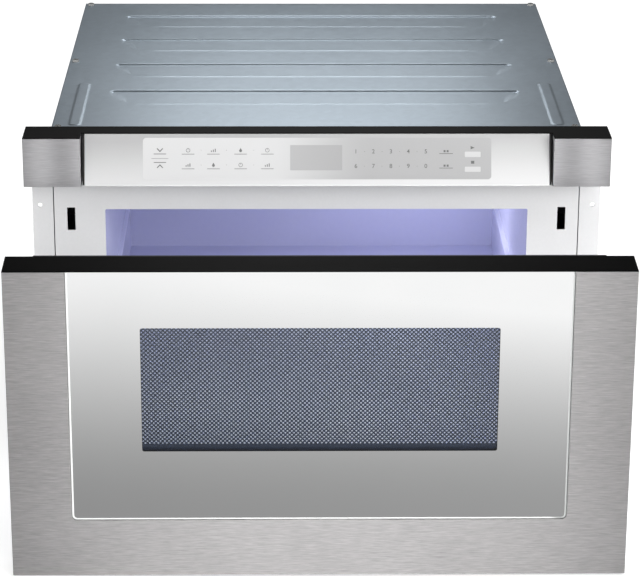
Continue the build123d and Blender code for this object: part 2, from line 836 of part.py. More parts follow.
for side, sign in SIDES:
    with BuildPart() as end_block:
        block(
            sided(sign, block_inner_x, half_front),
            (behind(-control_depth), behind(0)),
            (control_bottom, block_top),
        )
        block(
            sided(sign, block_inner_x + sheet, half_front - sheet),
            (behind(-control_depth + sheet), behind(0)),
            (control_bottom + sheet, block_top - sheet),
            Mode.SUBTRACT,
        )
    save(end_block, f"{side}_end_block")

# Top trim: one black strip over the whole front, cut back where the glass leans in.
glass_lean = 18.0
glass_setback = 0.5
trim_front = control_depth - glass_setback - glass_lean

with BuildPart() as control_top_trim:
    block((-half_front, half_front), (behind(-trim_front), behind(0)), (block_top, control_top))
    for _, sign in SIDES:
        block(
            sided(sign, block_inner_x, half_front),
            (behind(-control_depth), behind(-trim_front)),
            (block_top, control_top),
        )
save(control_top_trim, "control_top_trim")

# Control glass: flat, leaning back from its bottom edge, with a housing, board and display behind.
glass_ledge = 0.5
glass_top_gap = 0.1
glass_bottom_z = control_bottom + glass_ledge
glass_top_z = block_top - glass_top_gap
lean_angle = atan2(glass_lean, glass_top_z - glass_bottom_z)
glass_bottom_y = behind(-control_depth + glass_setback)
glass_top_y = glass_bottom_y + glass_lean


def lean_line(setback):
    """Bottom and top Y of a line that leans with the glass, this far behind its face."""
    shift = setback / cos(lean_angle)
    return glass_bottom_y + shift, glass_top_y + shift


with BuildPart() as control_glass:
    back_bottom, back_top = lean_line(glass_thickness)
    side_section(
        (
            (glass_bottom_y, glass_bottom_z),
            (back_bottom, glass_bottom_z),
            (back_top, glass_top_z),
            (glass_top_y, glass_top_z),
        ),
        (-glass_half, glass_half),
    )
save(control_glass, "control_glass")

housing_half = block_inner_x - 1.0
housing_skin = 2.0
display_depth = 5.0
display_x = (-27.8, 26.2)
display_zs = (17.0, 44.0)
board_setback = 7.0
board_half = 170.0
board_zs = (6.0, 42.0)
board_post_zs = (18.0, 34.0)
board_post_half = 4.0
chip_zs = (10.0, 24.0)
chip_depth = 2.2

with BuildPart() as control_housing:
    outer_bottom, outer_top = lean_line(glass_thickness)
    side_section(
        (
            (outer_bottom, glass_bottom_z),
            (behind(0), glass_bottom_z),
            (behind(0), block_top),
            (outer_top, glass_top_z),
        ),
        (-housing_half, housing_half),
    )
    inner_bottom, inner_top = lean_line(glass_thickness - housing_skin)
    side_section(
        (
            (inner_bottom, glass_bottom_z + wall),
            (behind(-wall), glass_bottom_z + wall),
            (behind(-wall), glass_top_z - wall),
            (inner_top, glass_top_z - wall),
        ),
        (-glass_half + 2 * wall, glass_half - 2 * wall),
        Mode.SUBTRACT,
    )
    for post_x in (-150, -60, 60, 150):
        block(
            (post_x - board_post_half, post_x + board_post_half),
            (behind(-board_setback), behind(-wall)),
            (control_bottom + board_post_zs[0], control_bottom + board_post_zs[1]),
        )
save(control_housing, "control_housing")

with BuildPart() as display_module:
    near_bottom = lean_line(glass_thickness)[0]
    far_bottom = lean_line(glass_thickness + display_depth)[0]
    rise = glass_top_z - glass_bottom_z
    low_share, high_share = (
        (control_bottom + height - glass_bottom_z) / rise for height in display_zs
    )
    side_section(
        (
            (near_bottom + glass_lean * low_share, control_bottom + display_zs[0]),
            (far_bottom + glass_lean * low_share, control_bottom + display_zs[0]),
            (far_bottom + glass_lean * high_share, control_bottom + display_zs[1]),
            (near_bottom + glass_lean * high_share, control_bottom + display_zs[1]),
        ),
        display_x,
    )
save(display_module, "display_module")

with BuildPart() as control_board:
    block(
        (-board_half, board_half),
        (behind(-board_setback - board_sheet), behind(-board_setback)),
        (control_bottom + board_zs[0], control_bottom + board_zs[1]),
    )
    for chip_x, chip_width in ((-110, 24), (70, 18), (125, 30)):
        block(
            (chip_x - chip_width / 2, chip_x + chip_width / 2),
            (behind(-board_setback - board_sheet - chip_depth), behind(-board_setback - board_sheet)),
            (control_bottom + chip_zs[0], control_bottom + chip_zs[1]),
        )
save(control_board, "control_board")

# ---------------------------------------------------------------- latch switches
# A plastic holder behind each slot in the face frame, with two micro-switches.
holder_face = latch_x + 8.0
holder_sheet = 2.0
holder_margin = 6.0
holder_inset = 1.5
switch_width = 14.0
switch_height = 6.4
switch_foot = 9.0
switch_rise = 6.8
switch_front = 26.5
switch_depth = 20.0
button_half = 1.5
button_travel = 1.0

for side, sign in SIDES:
    with BuildPart() as latch_switches:
        holder_zs = (latch_slot_span[0] - holder_margin, latch_slot_span[1] + holder_margin)
        block(
            sided(sign, holder_face, holder_face + holder_sheet),
            (behind(sheet), behind(switch_front + switch_depth + holder_sheet)),
            holder_zs,
        )
        block(
            sided(sign, latch_x + latch_slot_width / 2 + holder_inset, holder_face + holder_sheet),
            (behind(sheet), behind(2 * sheet)),
            holder_zs,
        )
        for level in range(2):
            switch_z = latch_slot_span[0] + switch_foot + level * switch_rise
            button_z = switch_z + switch_height / 2
            block(
                sided(sign, holder_face - switch_width, holder_face),
                (behind(switch_front), behind(switch_front + switch_depth)),
                (switch_z, switch_z + switch_height),
            )
            block(
                sided(sign, latch_x - button_half, latch_x + button_half),
                (behind(switch_front - button_travel), behind(switch_front)),
                (button_z - button_half, button_z + button_half),
            )
    save(latch_switches, f"{side}_latch_switches")

# ---------------------------------------------------------------- slides
# Three-member ball slides under the cavity, on brackets from the floor pan.
member_sheet = 1.2
outer_ball_radius = 1.3
inner_ball_radius = 1.1
ball_clearance = 0.3
outer_race = slide_height / 2 - member_sheet
middle_race = outer_race - 2 * (outer_ball_radius + ball_clearance)
middle_inside = middle_race - member_sheet
inner_race = middle_inside - 2 * (inner_ball_radius + ball_clearance)
web_gap = 1.0
mouth_gap = 0.2
inner_mouth_gap = 0.8
middle_back_x = slide_back_x - member_sheet - web_gap
inner_web_x = slide_back_x - slide_thickness + web_gap
slide_span = (slide_start, slide_start + slide_length)
foot_width = 16.0
foot_setback = 4.0
bracket_short = 10.0
middle_shift = rest_opening / 2


def channel(sign, back_x, open_x, half_height, y_span):
    """A C-section running in Y, its web at back_x and its mouth at open_x."""
    inward = 1 if open_x > back_x else -1
    block(sided(sign, back_x, open_x), y_span, (slide_z - half_height, slide_z + half_height))
    block(
        sided(sign, back_x + inward * member_sheet, open_x),
        y_span,
        (slide_z - half_height + member_sheet, slide_z + half_height - member_sheet),
        Mode.SUBTRACT,
    )


for side, sign in SIDES:
    with BuildPart() as slide_bracket:
        block(
            sided(sign, slide_back_x, slide_back_x + bracket_sheet),
            (behind(slide_start), behind(slide_span[1] - bracket_short)),
            (sheet, slide_z + slide_height / 2),
        )
        block(
            sided(sign, slide_back_x + bracket_sheet, slide_back_x + foot_width),
            (behind(slide_start + foot_setback), behind(slide_span[1] - bracket_short)),
            (sheet, sheet + bracket_sheet),
        )
    save(slide_bracket, f"{side}_slide_bracket")

    with BuildPart() as slide_outer:
        channel(
            sign,
            slide_back_x,
            slide_back_x - slide_thickness,
            slide_height / 2,
            (behind(slide_span[0]), behind(slide_span[1])),
        )
    save(slide_outer, f"{side}_slide_outer")

    with BuildPart() as slide_middle:
        channel(
            sign,
            middle_back_x,
            inner_web_x + mouth_gap,
            middle_race,
            (behind(slide_span[0]) - middle_shift, behind(slide_span[1]) - middle_shift),
        )
    save(slide_middle, f"{side}_slide_middle")

    with BuildPart() as slide_inner:
        channel(
            sign,
            inner_web_x,
            middle_back_x - member_sheet - inner_mouth_gap,
            inner_race,
            (drawn(slide_span[0]), drawn(slide_span[1])),
        )
    save(slide_inner, f"{side}_slide_inner")

# Ball cages: bent strips that space the balls. The outer pair moves at a quarter of the
# drawer's speed, and the inner pair at three quarters.
cage_start = 115.0
cage_length = 240.0
balls_in_row = 8
ball_pitch = 28.0
cage_sheet = 0.5
cage_slack = 0.1
inner_cage_gap = 0.15
outer_cage_mouth = 3.5
inner_cage_mouth = 3.0
inner_ball_place = 4.6


def ball_cage(sign, web_x, mouth_x, row_z, radius, ball_x, start_y):
    """One cage with its two rows of balls."""
    y_span = (start_y, start_y + cage_length)
    first_ball = start_y + (cage_length - ball_pitch * (balls_in_row - 1)) / 2
    block(
        sided(sign, web_x - cage_sheet, web_x),
        y_span,
        (slide_z - row_z + cage_sheet / 2, slide_z + row_z - cage_sheet / 2),
    )
    for row in (-1, 1):
        strip_z = slide_z + row * row_z
        block(sided(sign, mouth_x, web_x), y_span, (strip_z - cage_sheet / 2, strip_z + cage_sheet / 2))
        for ball in range(balls_in_row):
            hole = (sign * ball_x, first_ball + ball * ball_pitch, strip_z - cage_sheet)
            rod(hole, 2 * cage_sheet, radius + cage_slack, (0, 0, 1), Mode.SUBTRACT)
    for row in (-1, 1):
        for ball in range(balls_in_row):
            with Locations((sign * ball_x, first_ball + ball * ball_pitch, slide_z + row * row_z)):
                Sphere(radius)


with BuildPart() as outer_ball_cages:
    for _, sign in SIDES:
        ball_cage(
            sign,
            slide_back_x - member_sheet - (web_gap - cage_sheet) / 2,
            slide_back_x - slide_thickness + outer_cage_mouth,
            outer_race - outer_ball_radius - ball_clearance,
            outer_ball_radius,
            slide_back_x - slide_thickness / 2,
            behind(cage_start) - rest_opening / 4,
        )
save(outer_ball_cages, "outer_ball_cages")

with BuildPart() as inner_ball_cages:
    for _, sign in SIDES:
        ball_cage(
            sign,
            middle_back_x - member_sheet - inner_cage_gap,
            inner_web_x + inner_cage_mouth,
            middle_inside - inner_ball_radius - ball_clearance,
            inner_ball_radius,
            inner_web_x + inner_ball_place,
            behind(cage_start) - rest_opening * 3 / 4,
        )
save(inner_ball_cages, "inner_ball_cages")

# ---------------------------------------------------------------- drawer front
door_front = -control_depth
frame_depth = 37.6
stile_width = 59.9
bottom_rail = 59.4
skin_top = door_top - trim_thickness
glass_opening_half = half_front - stile_width
glass_opening_low = door_bottom + bottom_rail
rebate_depth = 7.4
door_glass_gap = 0.3
door_glass_setback = 0.8
door_glass_thickness = 5.0
glass_corner = 5.0
chassis_front = door_front + 8.2
chassis_back = chassis_front + 1.5
window_half = 173.0
window_top_drop = 60.8
window_height = 128.5
window_corner = 2.0
window_top = door_top - window_top_drop
window_low = window_top - window_height
screen_sheet = 0.6
screen_margin = 8.0
screen_corner = 4.0
door_back = -door_seat_gap
glass_hole_top = skin_top + glass_corner
cut_margin = 1.0

# Metal front: one folded sheet, U-shaped round the glass, with its outer edges turned back.
with BuildPart() as door_frame:
    front_panel(
        2 * half_front, (door_bottom, skin_top), (drawn(door_front), drawn(door_front + frame_depth))
    )
    front_panel(
        2 * (half_front - sheet),
        (door_bottom + sheet, skin_top),
        (drawn(door_front + rebate_depth), drawn(door_front + frame_depth)),
        mode=Mode.SUBTRACT,
    )
    front_panel(
        2 * (half_front - sheet),
        (door_bottom + sheet, skin_top),
        (drawn(door_front + sheet), drawn(door_front + rebate_depth)),
        mode=Mode.SUBTRACT,
    )
    front_panel(
        2 * (glass_opening_half + sheet),
        (glass_opening_low - sheet, glass_hole_top),
        (drawn(door_front), drawn(door_front + rebate_depth)),
        glass_corner + sheet,
    )
    front_panel(
        2 * glass_opening_half,
        (glass_opening_low, glass_hole_top + sheet),
        (drawn(door_front), drawn(door_front + rebate_depth)),
        glass_corner,
        mode=Mode.SUBTRACT,
    )
    block(
        (-half_front, half_front),
        (drawn(door_front - cut_margin), drawn(door_front + frame_depth + cut_margin)),
        (skin_top, glass_hole_top + 2 * sheet),
        Mode.SUBTRACT,
    )
save(door_frame, "door_frame")

# Door glass: one mirrored pane, rounded at its bottom corners, clear over the window.
with BuildPart() as door_glass:
    front_panel(
        2 * (glass_opening_half - door_glass_gap),
        (glass_opening_low + door_glass_gap, glass_hole_top),
        (
            drawn(door_front + door_glass_setback),
            drawn(door_front + door_glass_setback + door_glass_thickness),
        ),
        glass_corner - door_glass_gap,
    )
    block(
        (-half_front, half_front),
        (drawn(door_front - cut_margin), drawn(door_front + rebate_depth)),
        (skin_top, glass_hole_top + sheet),
        Mode.SUBTRACT,
    )
save(door_glass, "door_glass")

# Top trim of the door: a black strip across the whole top edge, a little thicker at its back.
trim_rise = 2.0

with BuildPart() as door_top_trim:
    with BuildSketch(Plane.YZ.offset(-half_front)):
        with BuildLine():
            Polyline(
                (drawn(door_front), skin_top),
                (drawn(door_front), door_top),
                (drawn(door_front + frame_depth), door_top + trim_rise),
                (drawn(door_front + frame_depth), skin_top),
                close=True,
            )
        make_face()
    extrude(amount=2 * half_front)
save(door_top_trim, "door_top_trim")

# Window screen: fine perforated sheet on the front of the door chassis.
with BuildPart() as window_screen:
    front_panel(
        2 * (window_half + screen_margin),
        (window_low - screen_margin, window_top + screen_margin),
        (drawn(chassis_front - screen_sheet), drawn(chassis_front)),
        corner=screen_corner,
    )
save(window_screen, "window_screen")

# Door chassis: the steel plate inside the door, with the two walls of the choke channel
# round the opening, and an ear on each side that carries a latch pin.
choke_margin_side = 47.3
choke_margin_end = 26.0
choke_inside_margin = 5.0
choke_wall = 1.5
choke_back = door_front + frame_depth
choke_outer_half = half_cavity + choke_margin_side
choke_low = floor_z - choke_margin_end
choke_high = ceiling_z + choke_margin_end
ear_sheet = 3.0
ear_half = 6.0
pin_radius = 2.5
hook_thickness = 5.0
hook_side_gap = 4.0
pin_depth = door_front + 25.0
pin_rise = 17.0
pin_z = latch_slot_span[0] + pin_rise


def ring(half_width, z_span, wall_thickness, y_span):
    """A standing rectangular wall, seen from the front as a frame."""
    front_panel(2 * half_width, z_span, y_span)
    front_panel(
        2 * (half_width - wall_thickness),
        (z_span[0] + wall_thickness, z_span[1] - wall_thickness),
        y_span,
        mode=Mode.SUBTRACT,
    )


with BuildPart() as door_chassis:
    ring(
        choke_outer_half, (choke_low, choke_high), choke_wall, (drawn(chassis_back), drawn(choke_back))
    )
    with BuildPart(mode=Mode.PRIVATE) as inner_wall:
        ring(
            half_cavity + choke_inside_margin + choke_wall,
            (floor_z - choke_inside_margin - choke_wall, ceiling_z + choke_inside_margin + choke_wall),
            choke_wall,
            (drawn(chassis_back), drawn(choke_back)),
        )
    add(inner_wall.part)
    front_panel(
        2 * (half_front - sheet),
        (door_bottom + sheet, skin_top),
        (drawn(chassis_front), drawn(chassis_back)),
    )
    front_panel(
        2 * window_half,
        (window_low, window_top),
        (drawn(chassis_front), drawn(chassis_back)),
        corner=window_corner,
        mode=Mode.SUBTRACT,
    )
    for _, sign in SIDES:
        outer_ear = latch_x + hook_thickness / 2 + slip
        inner_ear = latch_x - hook_thickness / 2 - hook_side_gap
        for ear in ((inner_ear - ear_sheet, inner_ear), (outer_ear, outer_ear + ear_sheet)):
            block(
                sided(sign, *ear),
                (drawn(chassis_back), drawn(pin_depth + ear_half)),
                (pin_z - ear_half, pin_z + ear_half),
            )
        pin_start = (sign * outer_ear, drawn(pin_depth), pin_z)
        rod(pin_start, outer_ear - inner_ear, pin_radius, (-sign, 0, 0))
save(door_chassis, "door_chassis")

# Choke cover: the black plastic frame that closes the choke channel and seats on the case.
cover_margin = 6.5
cover_chamfer = 1.5
cover_half_width = choke_outer_half + cover_margin
cover_low = choke_low - cover_margin
cover_top = door_top + trim_rise - 0.1
lip_inset = 2.0
lip_depth = 10.0
hook_window_slack = 1.0

with BuildPart() as choke_cover:
    front_panel(
        2 * cover_half_width, (cover_low, cover_top), (drawn(choke_back), drawn(door_back))
    )
    back_face = choke_cover.faces().sort_by(Axis.Y)[-1]
    chamfer(back_face.edges(), cover_chamfer)
    front_panel(
        2 * (cover_half_width - lip_inset),
        (cover_low + lip_inset, skin_top - slip),
        (drawn(choke_back - lip_depth), drawn(choke_back)),
    )
    front_panel(
        2 * (choke_outer_half + slip),
        (choke_low - slip, choke_high + slip),
        (drawn(choke_back - lip_depth), drawn(choke_back)),
        mode=Mode.SUBTRACT,
    )
    front_panel(
        2 * (half_cavity + choke_inside_margin),
        (floor_z - choke_inside_margin, ceiling_z + choke_inside_margin),
        (drawn(choke_back), drawn(door_back)),
        mode=Mode.SUBTRACT,
    )
    for _, sign in SIDES:
        front_panel(
            latch_slot_width,
            (latch_slot_span[0] - hook_window_slack, latch_slot_span[1] + hook_window_slack),
            (drawn(choke_back), drawn(door_back)),
            centre_x=sign * latch_x,
            mode=Mode.SUBTRACT,
        )
save(choke_cover, "choke_cover")

# Latch hooks: plates that turn on the chassis pins. Shut, each reaches through its slot,
# catches behind the slot's top edge and holds both switches down.
hook_reach = 24.0
hook_bar_low = pin_z - 6.5
hook_bar_high = pin_z + 5.0
hook_tail = 5.5
hook_nose = 1.5
hook_catch = 1.8
hook_tooth_top = latch_slot_top + hook_catch
hook_tooth_face = 2.2
hook_tooth_tip = 1.5

for side, sign in SIDES:
    with BuildPart() as latch_hook:
        side_section(
            (
                (drawn(pin_depth - hook_tail), hook_bar_low),
                (drawn(hook_reach - hook_nose), hook_bar_low),
                (drawn(hook_reach), hook_bar_low + hook_nose),
                (drawn(hook_reach), hook_bar_high),
                (drawn(hook_tooth_face + hook_tooth_tip), hook_tooth_top),
                (drawn(hook_tooth_face), hook_tooth_top),
                (drawn(hook_tooth_face), hook_bar_high),
                (drawn(pin_depth - hook_tail), hook_bar_high),
            ),
            sided(sign, latch_x - hook_thickness / 2, latch_x + hook_thickness / 2),
        )
        rod(
            (sign * (latch_x - hook_thickness), drawn(pin_depth), pin_z),
            2 * hook_thickness,
            pin_radius + running_fit,
            (sign, 0, 0),
            Mode.SUBTRACT,
        )
    save(latch_hook, f"{side}_latch_hook")

# Latch springs: a torsion coil round each pin, beside the hook.
spring_wire = 1.3

with BuildPart() as latch_springs:
    for _, sign in SIDES:
        coil_start = (sign * (latch_x - hook_thickness / 2 - slip), drawn(pin_depth), pin_z)
        rod(coil_start, hook_side_gap - 2 * slip, pin_radius + slip + spring_wire, (-sign, 0, 0))
        rod(coil_start, hook_side_gap - 2 * slip, pin_radius + slip, (-sign, 0, 0), Mode.SUBTRACT)
save(latch_springs, "latch_springs")

# ---------------------------------------------------------------- drawer tub and its carriers
# Tub: folded sheet with a liner against the door, low walls and two skids pressed in its floor.
tub_side_gap = 8.2
tub_back_gap = 8.0
skid_height = 4.7
tub_wall_height = 58.0
tub_rim = 5.0
liner_top_gap = 5.0
tub_half = half_cavity - tub_side_gap
tub_floor_z = floor_z + slip + skid_height
tub_rim_z = tub_floor_z + tub_wall_height
tub_back = cavity_depth - tub_back_gap
liner_top = ceiling_z - liner_top_gap
skid_x = 150.0
skid_width = 8.0
skid_ends = (40.0, 20.0)

with BuildPart() as drawer_tub:
    tub_front_y = drawn(chassis_back)
    tub_back_y = drawn(tub_back)
    block((-tub_half, tub_half), (tub_front_y, tub_back_y), (tub_floor_z, tub_rim_z))
    block(
        (-tub_half + sheet, tub_half - sheet),
        (tub_front_y, tub_back_y - sheet),
        (tub_floor_z + sheet, tub_rim_z - sheet),
        Mode.SUBTRACT,
    )
    block(
        (-tub_half + tub_rim, tub_half - tub_rim),
        (tub_front_y, tub_back_y - tub_rim),
        (tub_rim_z - sheet, tub_rim_z),
        Mode.SUBTRACT,
    )
    front_panel(2 * tub_half, (tub_floor_z, liner_top), (tub_front_y, tub_front_y + sheet))
    front_panel(
        2 * window_half,
        (window_low, window_top),
        (tub_front_y, tub_front_y + sheet),
        corner=window_corner,
        mode=Mode.SUBTRACT,
    )
    for _, sign in SIDES:
        block(
            sided(sign, skid_x, skid_x + skid_width),
            (tub_front_y + skid_ends[0], tub_back_y - skid_ends[1]),
            (tub_floor_z - skid_height, tub_floor_z),
        )
save(drawer_tub, "drawer_tub")

# Glass-ceramic floor plate that the food stands on.
shelf_thickness = 4.0
shelf_gap = 1.5
shelf_corner = 6.0
shelf_bevel = 0.6

with BuildPart() as ceramic_shelf:
    block(
        (-tub_half + sheet + shelf_gap, tub_half - sheet - shelf_gap),
        (tub_front_y + sheet + shelf_gap, tub_back_y - sheet - shelf_gap),
        (tub_floor_z + sheet, tub_floor_z + sheet + shelf_thickness),
    )
    fillet(ceramic_shelf.edges().filter_by(Axis.Z), shelf_corner)
    chamfer(ceramic_shelf.faces().sort_by(Axis.Z)[-1].edges(), shelf_bevel)
save(ceramic_shelf, "ceramic_shelf")

# Drawer arms: angle plates from the chassis to the slides' inner members.
arm_sheet = 2.0
arm_half_height = 11.0
arm_reach = 220.0
arm_flange = 22.0

for side, sign in SIDES:
    with BuildPart() as drawer_arm:
        block(
            sided(sign, inner_web_x - arm_sheet, inner_web_x),
            (drawn(chassis_back), drawn(arm_reach)),
            (slide_z - arm_half_height, slide_z + arm_half_height),
        )
        block(
            sided(sign, inner_web_x - arm_flange, inner_web_x),
            (drawn(chassis_back), drawn(chassis_back) + arm_sheet),
            (slide_z - arm_half_height, slide_z + arm_half_height),
        )
    save(drawer_arm, f"{side}_drawer_arm")

# ---------------------------------------------------------------- drive
# Rack: fixed to the chassis, teeth down, long enough to stay on the pinion when fully out.
tooth_pitch = pi * rack_module
addendum = rack_module
dedendum = 1.25 * rack_module
pressure_angle = radians(20)
backlash = 0.15
rack_run_out = 10.0
rack_end = pinion_depth + travel + rack_run_out
rack_first_tooth = pinion_depth - rack_run_out
tooth_half = tooth_pitch / 4 - backlash
rack_foot_drop = 8.0

with BuildPart() as drive_rack:
    root_z = rack_pitch_z + dedendum
    tip_z = rack_pitch_z - addendum
    block(
        (-rack_width / 2, rack_width / 2),
        (drawn(chassis_back), drawn(rack_end)),
        (root_z, rack_back_z),
    )
    block(
        (-rack_width * 1.5, rack_width * 1.5),
        (drawn(chassis_back), drawn(chassis_back) + arm_sheet),
        (rack_pitch_z - rack_foot_drop, rack_back_z),
    )
    first_index = int((drawn(rack_first_tooth) - behind(pinion_depth)) // tooth_pitch) + 1
    last_index = int((drawn(rack_end) - behind(pinion_depth)) // tooth_pitch) - 1
    root_half = tooth_half + dedendum * tan(pressure_angle)
    tip_half = tooth_half - addendum * tan(pressure_angle)
    for index in range(first_index, last_index + 1):
        tooth_y = behind(pinion_depth) + (index + 0.5) * tooth_pitch
        side_section(
            (
                (tooth_y - root_half, root_z),
                (tooth_y - tip_half, tip_z),
                (tooth_y + tip_half, tip_z),
                (tooth_y + root_half, root_z),
            ),
            (-rack_width / 2, rack_width / 2),
        )
save(drive_rack, "drive_rack")

# Pinion: involute teeth, one of them pointing straight up into a gap of the rack.
shaft_radius = 4.0
shaft_reach = 27.0
hub_length = 3.0
hub_radius = 9.0
base_radius = pinion_radius * cos(pressure_angle)
tip_radius = pinion_radius + addendum
root_radius = pinion_radius - dedendum
root_overlap = 0.5
flank_steps = 5


def involute(angle):
    return tan(angle) - angle


def half_tooth(radius):
    """Half the angle that a pinion tooth takes up at a radius, in radians."""
    at_pitch = pi / (2 * pinion_teeth) - backlash / pinion_radius
    here = acos(min(1.0, base_radius / radius))
    return at_pitch + involute(pressure_angle) - involute(here)


with BuildPart() as drive_pinion:
    with BuildSketch(Plane.YZ.offset(-rack_width / 2)):
        with Locations((behind(pinion_depth), pinion_z)):
            Circle(root_radius)
        flank_rise = (tip_radius - base_radius) / flank_steps
        flank = [base_radius + flank_rise * step for step in range(flank_steps + 1)]
        side_points = [(root_radius - root_overlap, half_tooth(base_radius))]
        side_points += [(r, half_tooth(r)) for r in flank]
        outline = [(r, pi / 2 + half) for r, half in side_points]
        outline += [(r, pi / 2 - half) for r, half in reversed(side_points)]
        with BuildLine(mode=Mode.PRIVATE) as tooth_edge:
            Polyline(*((r * cos(a), r * sin(a)) for r, a in outline), close=True)
        with Locations((behind(pinion_depth), pinion_z)):
            with PolarLocations(0, pinion_teeth):
                add(make_face(tooth_edge.edges(), mode=Mode.PRIVATE))
    extrude(amount=rack_width)
    rod((-rack_width / 2, behind(pinion_depth), pinion_z), hub_length, hub_radius, (-1, 0, 0))
    rod((0, behind(pinion_depth), pinion_z), shaft_reach, shaft_radius, (1, 0, 0))
save(drive_pinion, "drive_pinion")

# Drawer motor: a gearbox on the floor pan with the motor's can beside it.
gearbox_x = (rack_width / 2 + 3.0, rack_width / 2 + 34.0)
gearbox_depth = (14.0, 92.0)
gearbox_top = 54.0
gearbox_round = 6.0
gearbox_foot = 10.0
gearbox_bearing = 24.0
drive_can_radius = 18.0
drive_can_length = 56.0
drive_can_inset = 24.0
drive_can_z = 27.2

with BuildPart() as drawer_motor:
    block(gearbox_x, (behind(gearbox_depth[0]), behind(gearbox_depth[1])), (sheet, gearbox_top))
    fillet(drawer_motor.edges().filter_by(Axis.X), gearbox_round)
    can_place = (gearbox_x[1], behind(gearbox_depth[1] - drive_can_inset), drive_can_z)
    rod(can_place, drive_can_length, drive_can_radius, (1, 0, 0))
    block(
        gearbox_x,
        (behind(gearbox_depth[0] + gearbox_round), behind(gearbox_depth[1] + gearbox_foot)),
        (sheet, 3 * sheet),
    )
    shaft_mouth = (gearbox_x[0], behind(pinion_depth), pinion_z)
    rod(shaft_mouth, gearbox_bearing, shaft_radius + running_fit, (1, 0, 0), Mode.SUBTRACT)
save(drawer_motor, "drawer_motor")
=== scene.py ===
"""Looks of the built-in microwave drawer, part-way out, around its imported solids."""

import json
from math import atan2, cos, hypot, pi, radians, sin

import bmesh
import bpy
from mathutils import Matrix, Vector
from mathutils.geometry import tessellate_polygon

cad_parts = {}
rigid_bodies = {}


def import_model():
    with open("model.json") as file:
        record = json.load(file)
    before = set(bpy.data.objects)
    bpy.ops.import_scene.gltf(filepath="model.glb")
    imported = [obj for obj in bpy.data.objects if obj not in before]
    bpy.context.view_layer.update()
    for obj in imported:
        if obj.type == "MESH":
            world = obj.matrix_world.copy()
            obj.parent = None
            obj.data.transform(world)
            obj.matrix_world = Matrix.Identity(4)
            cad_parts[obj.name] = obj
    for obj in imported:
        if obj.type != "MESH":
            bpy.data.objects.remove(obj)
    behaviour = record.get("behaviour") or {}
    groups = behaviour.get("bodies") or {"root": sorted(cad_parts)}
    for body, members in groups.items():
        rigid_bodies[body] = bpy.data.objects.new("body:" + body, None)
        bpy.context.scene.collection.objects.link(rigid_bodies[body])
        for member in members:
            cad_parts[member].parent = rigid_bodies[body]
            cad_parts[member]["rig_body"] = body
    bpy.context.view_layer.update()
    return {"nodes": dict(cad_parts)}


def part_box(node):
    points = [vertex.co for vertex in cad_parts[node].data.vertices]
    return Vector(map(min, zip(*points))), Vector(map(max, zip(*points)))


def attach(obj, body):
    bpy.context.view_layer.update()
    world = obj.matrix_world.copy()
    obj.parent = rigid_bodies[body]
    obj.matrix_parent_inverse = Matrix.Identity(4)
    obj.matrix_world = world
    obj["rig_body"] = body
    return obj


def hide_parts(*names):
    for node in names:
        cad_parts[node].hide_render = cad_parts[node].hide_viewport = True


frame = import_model()
scene = bpy.context.scene
mm = 0.001

# ---- Camera
# Where the photographer stood: 2.4 m in front of the drawer and 1.2 m up, a long lens looking
# down at twenty degrees, a little from the left.
camera_place = (-0.0378, -2.9218, 1.1734)
pitch, yaw, roll = radians(20.175), radians(0.903), radians(0.229)
focal_pixels, photo_width, sensor_width = 2644.8, 640, 36.0

ahead = Vector((sin(yaw) * cos(pitch), cos(yaw) * cos(pitch), -sin(pitch)))
level_right = ahead.cross(Vector((0, 0, 1))).normalized()
level_up = level_right.cross(ahead)
right = cos(roll) * level_right + sin(roll) * level_up
up = cos(roll) * level_up - sin(roll) * level_right
lens = bpy.data.cameras.new("camera")
lens.sensor_width = sensor_width
lens.lens = sensor_width * focal_pixels / photo_width
camera = bpy.data.objects.new("camera", lens)
turned = Matrix((right, up, -ahead)).transposed().to_4x4()
camera.matrix_world = Matrix.Translation(camera_place) @ turned
scene.collection.objects.link(camera)
scene.camera = camera
scene.view_settings.view_transform = "Standard"


# ---- Studio
# A pale floor that runs out to a white backdrop, under large soft lamps. Mirrored surfaces see the floor
# with a painted shade, grey near the front of the oven, which is what the mirrored glass shows at its foot.
def linear(colour):
    """A colour written as #rrggbb, as the shader's own linear numbers."""
    parts = [int(colour[i : i + 2], 16) / 255 for i in (1, 3, 5)]
    return (*(c / 12.92 if c <= 0.04045 else ((c + 0.055) / 1.055) ** 2.4 for c in parts), 1.0)


def add(tree, kind, sockets=None, **settings):
    """Adds one shader node with its settings, sets or links its inputs, and gives its outputs."""
    made = tree.nodes.new("ShaderNode" + kind)
    for name, value in settings.items():
        setattr(made, name, value)
    for name, value in (sockets or {}).items():
        if isinstance(value, bpy.types.NodeSocket):
            tree.links.new(value, made.inputs[name])
        else:
            made.inputs[name].default_value = value
    return made.outputs


def show(name, mesh, *materials):
    """Puts a mesh in the scene as a piece with its materials."""
    piece = bpy.data.objects.new(name, mesh)
    for material in materials:
        mesh.materials.append(material)
    scene.collection.objects.link(piece)
    return piece


floor_reach, floor_drop = 6.0, 0.4 * mm
floor_glow = 0.42  # brings the paint up to white for the camera, and leaves the shadow
shade_near, shade_far, shade_level = -0.677, -1.557, 0.3
left_end, right_end, right_painted_light = -0.25, 0.35, 1.2
floor_near, floor_far, far_painted_shade = -1.65, -2.1, 0.35
grain_scale = 3.0
floor_mesh = bpy.data.meshes.new("floor")
square = [(x * floor_reach, y * floor_reach, -floor_drop) for x, y in ((-1, -1), (1, -1), (1, 1), (-1, 1))]
floor_mesh.from_pydata(square, [], [(0, 1, 2, 3)])
painted_floor = bpy.data.materials.new("painted_floor")
painted_floor.use_nodes = True
tree = painted_floor.node_tree
tree.nodes.clear()
ray = add(tree, "LightPath")
place = add(tree, "TexCoord")["Object"]
depth = add(tree, "SeparateXYZ", {0: place})["Y"]
side = add(tree, "SeparateXYZ", {0: place})["X"]
grain = add(tree, "TexNoise", {"Vector": place, "Scale": grain_scale})[0]
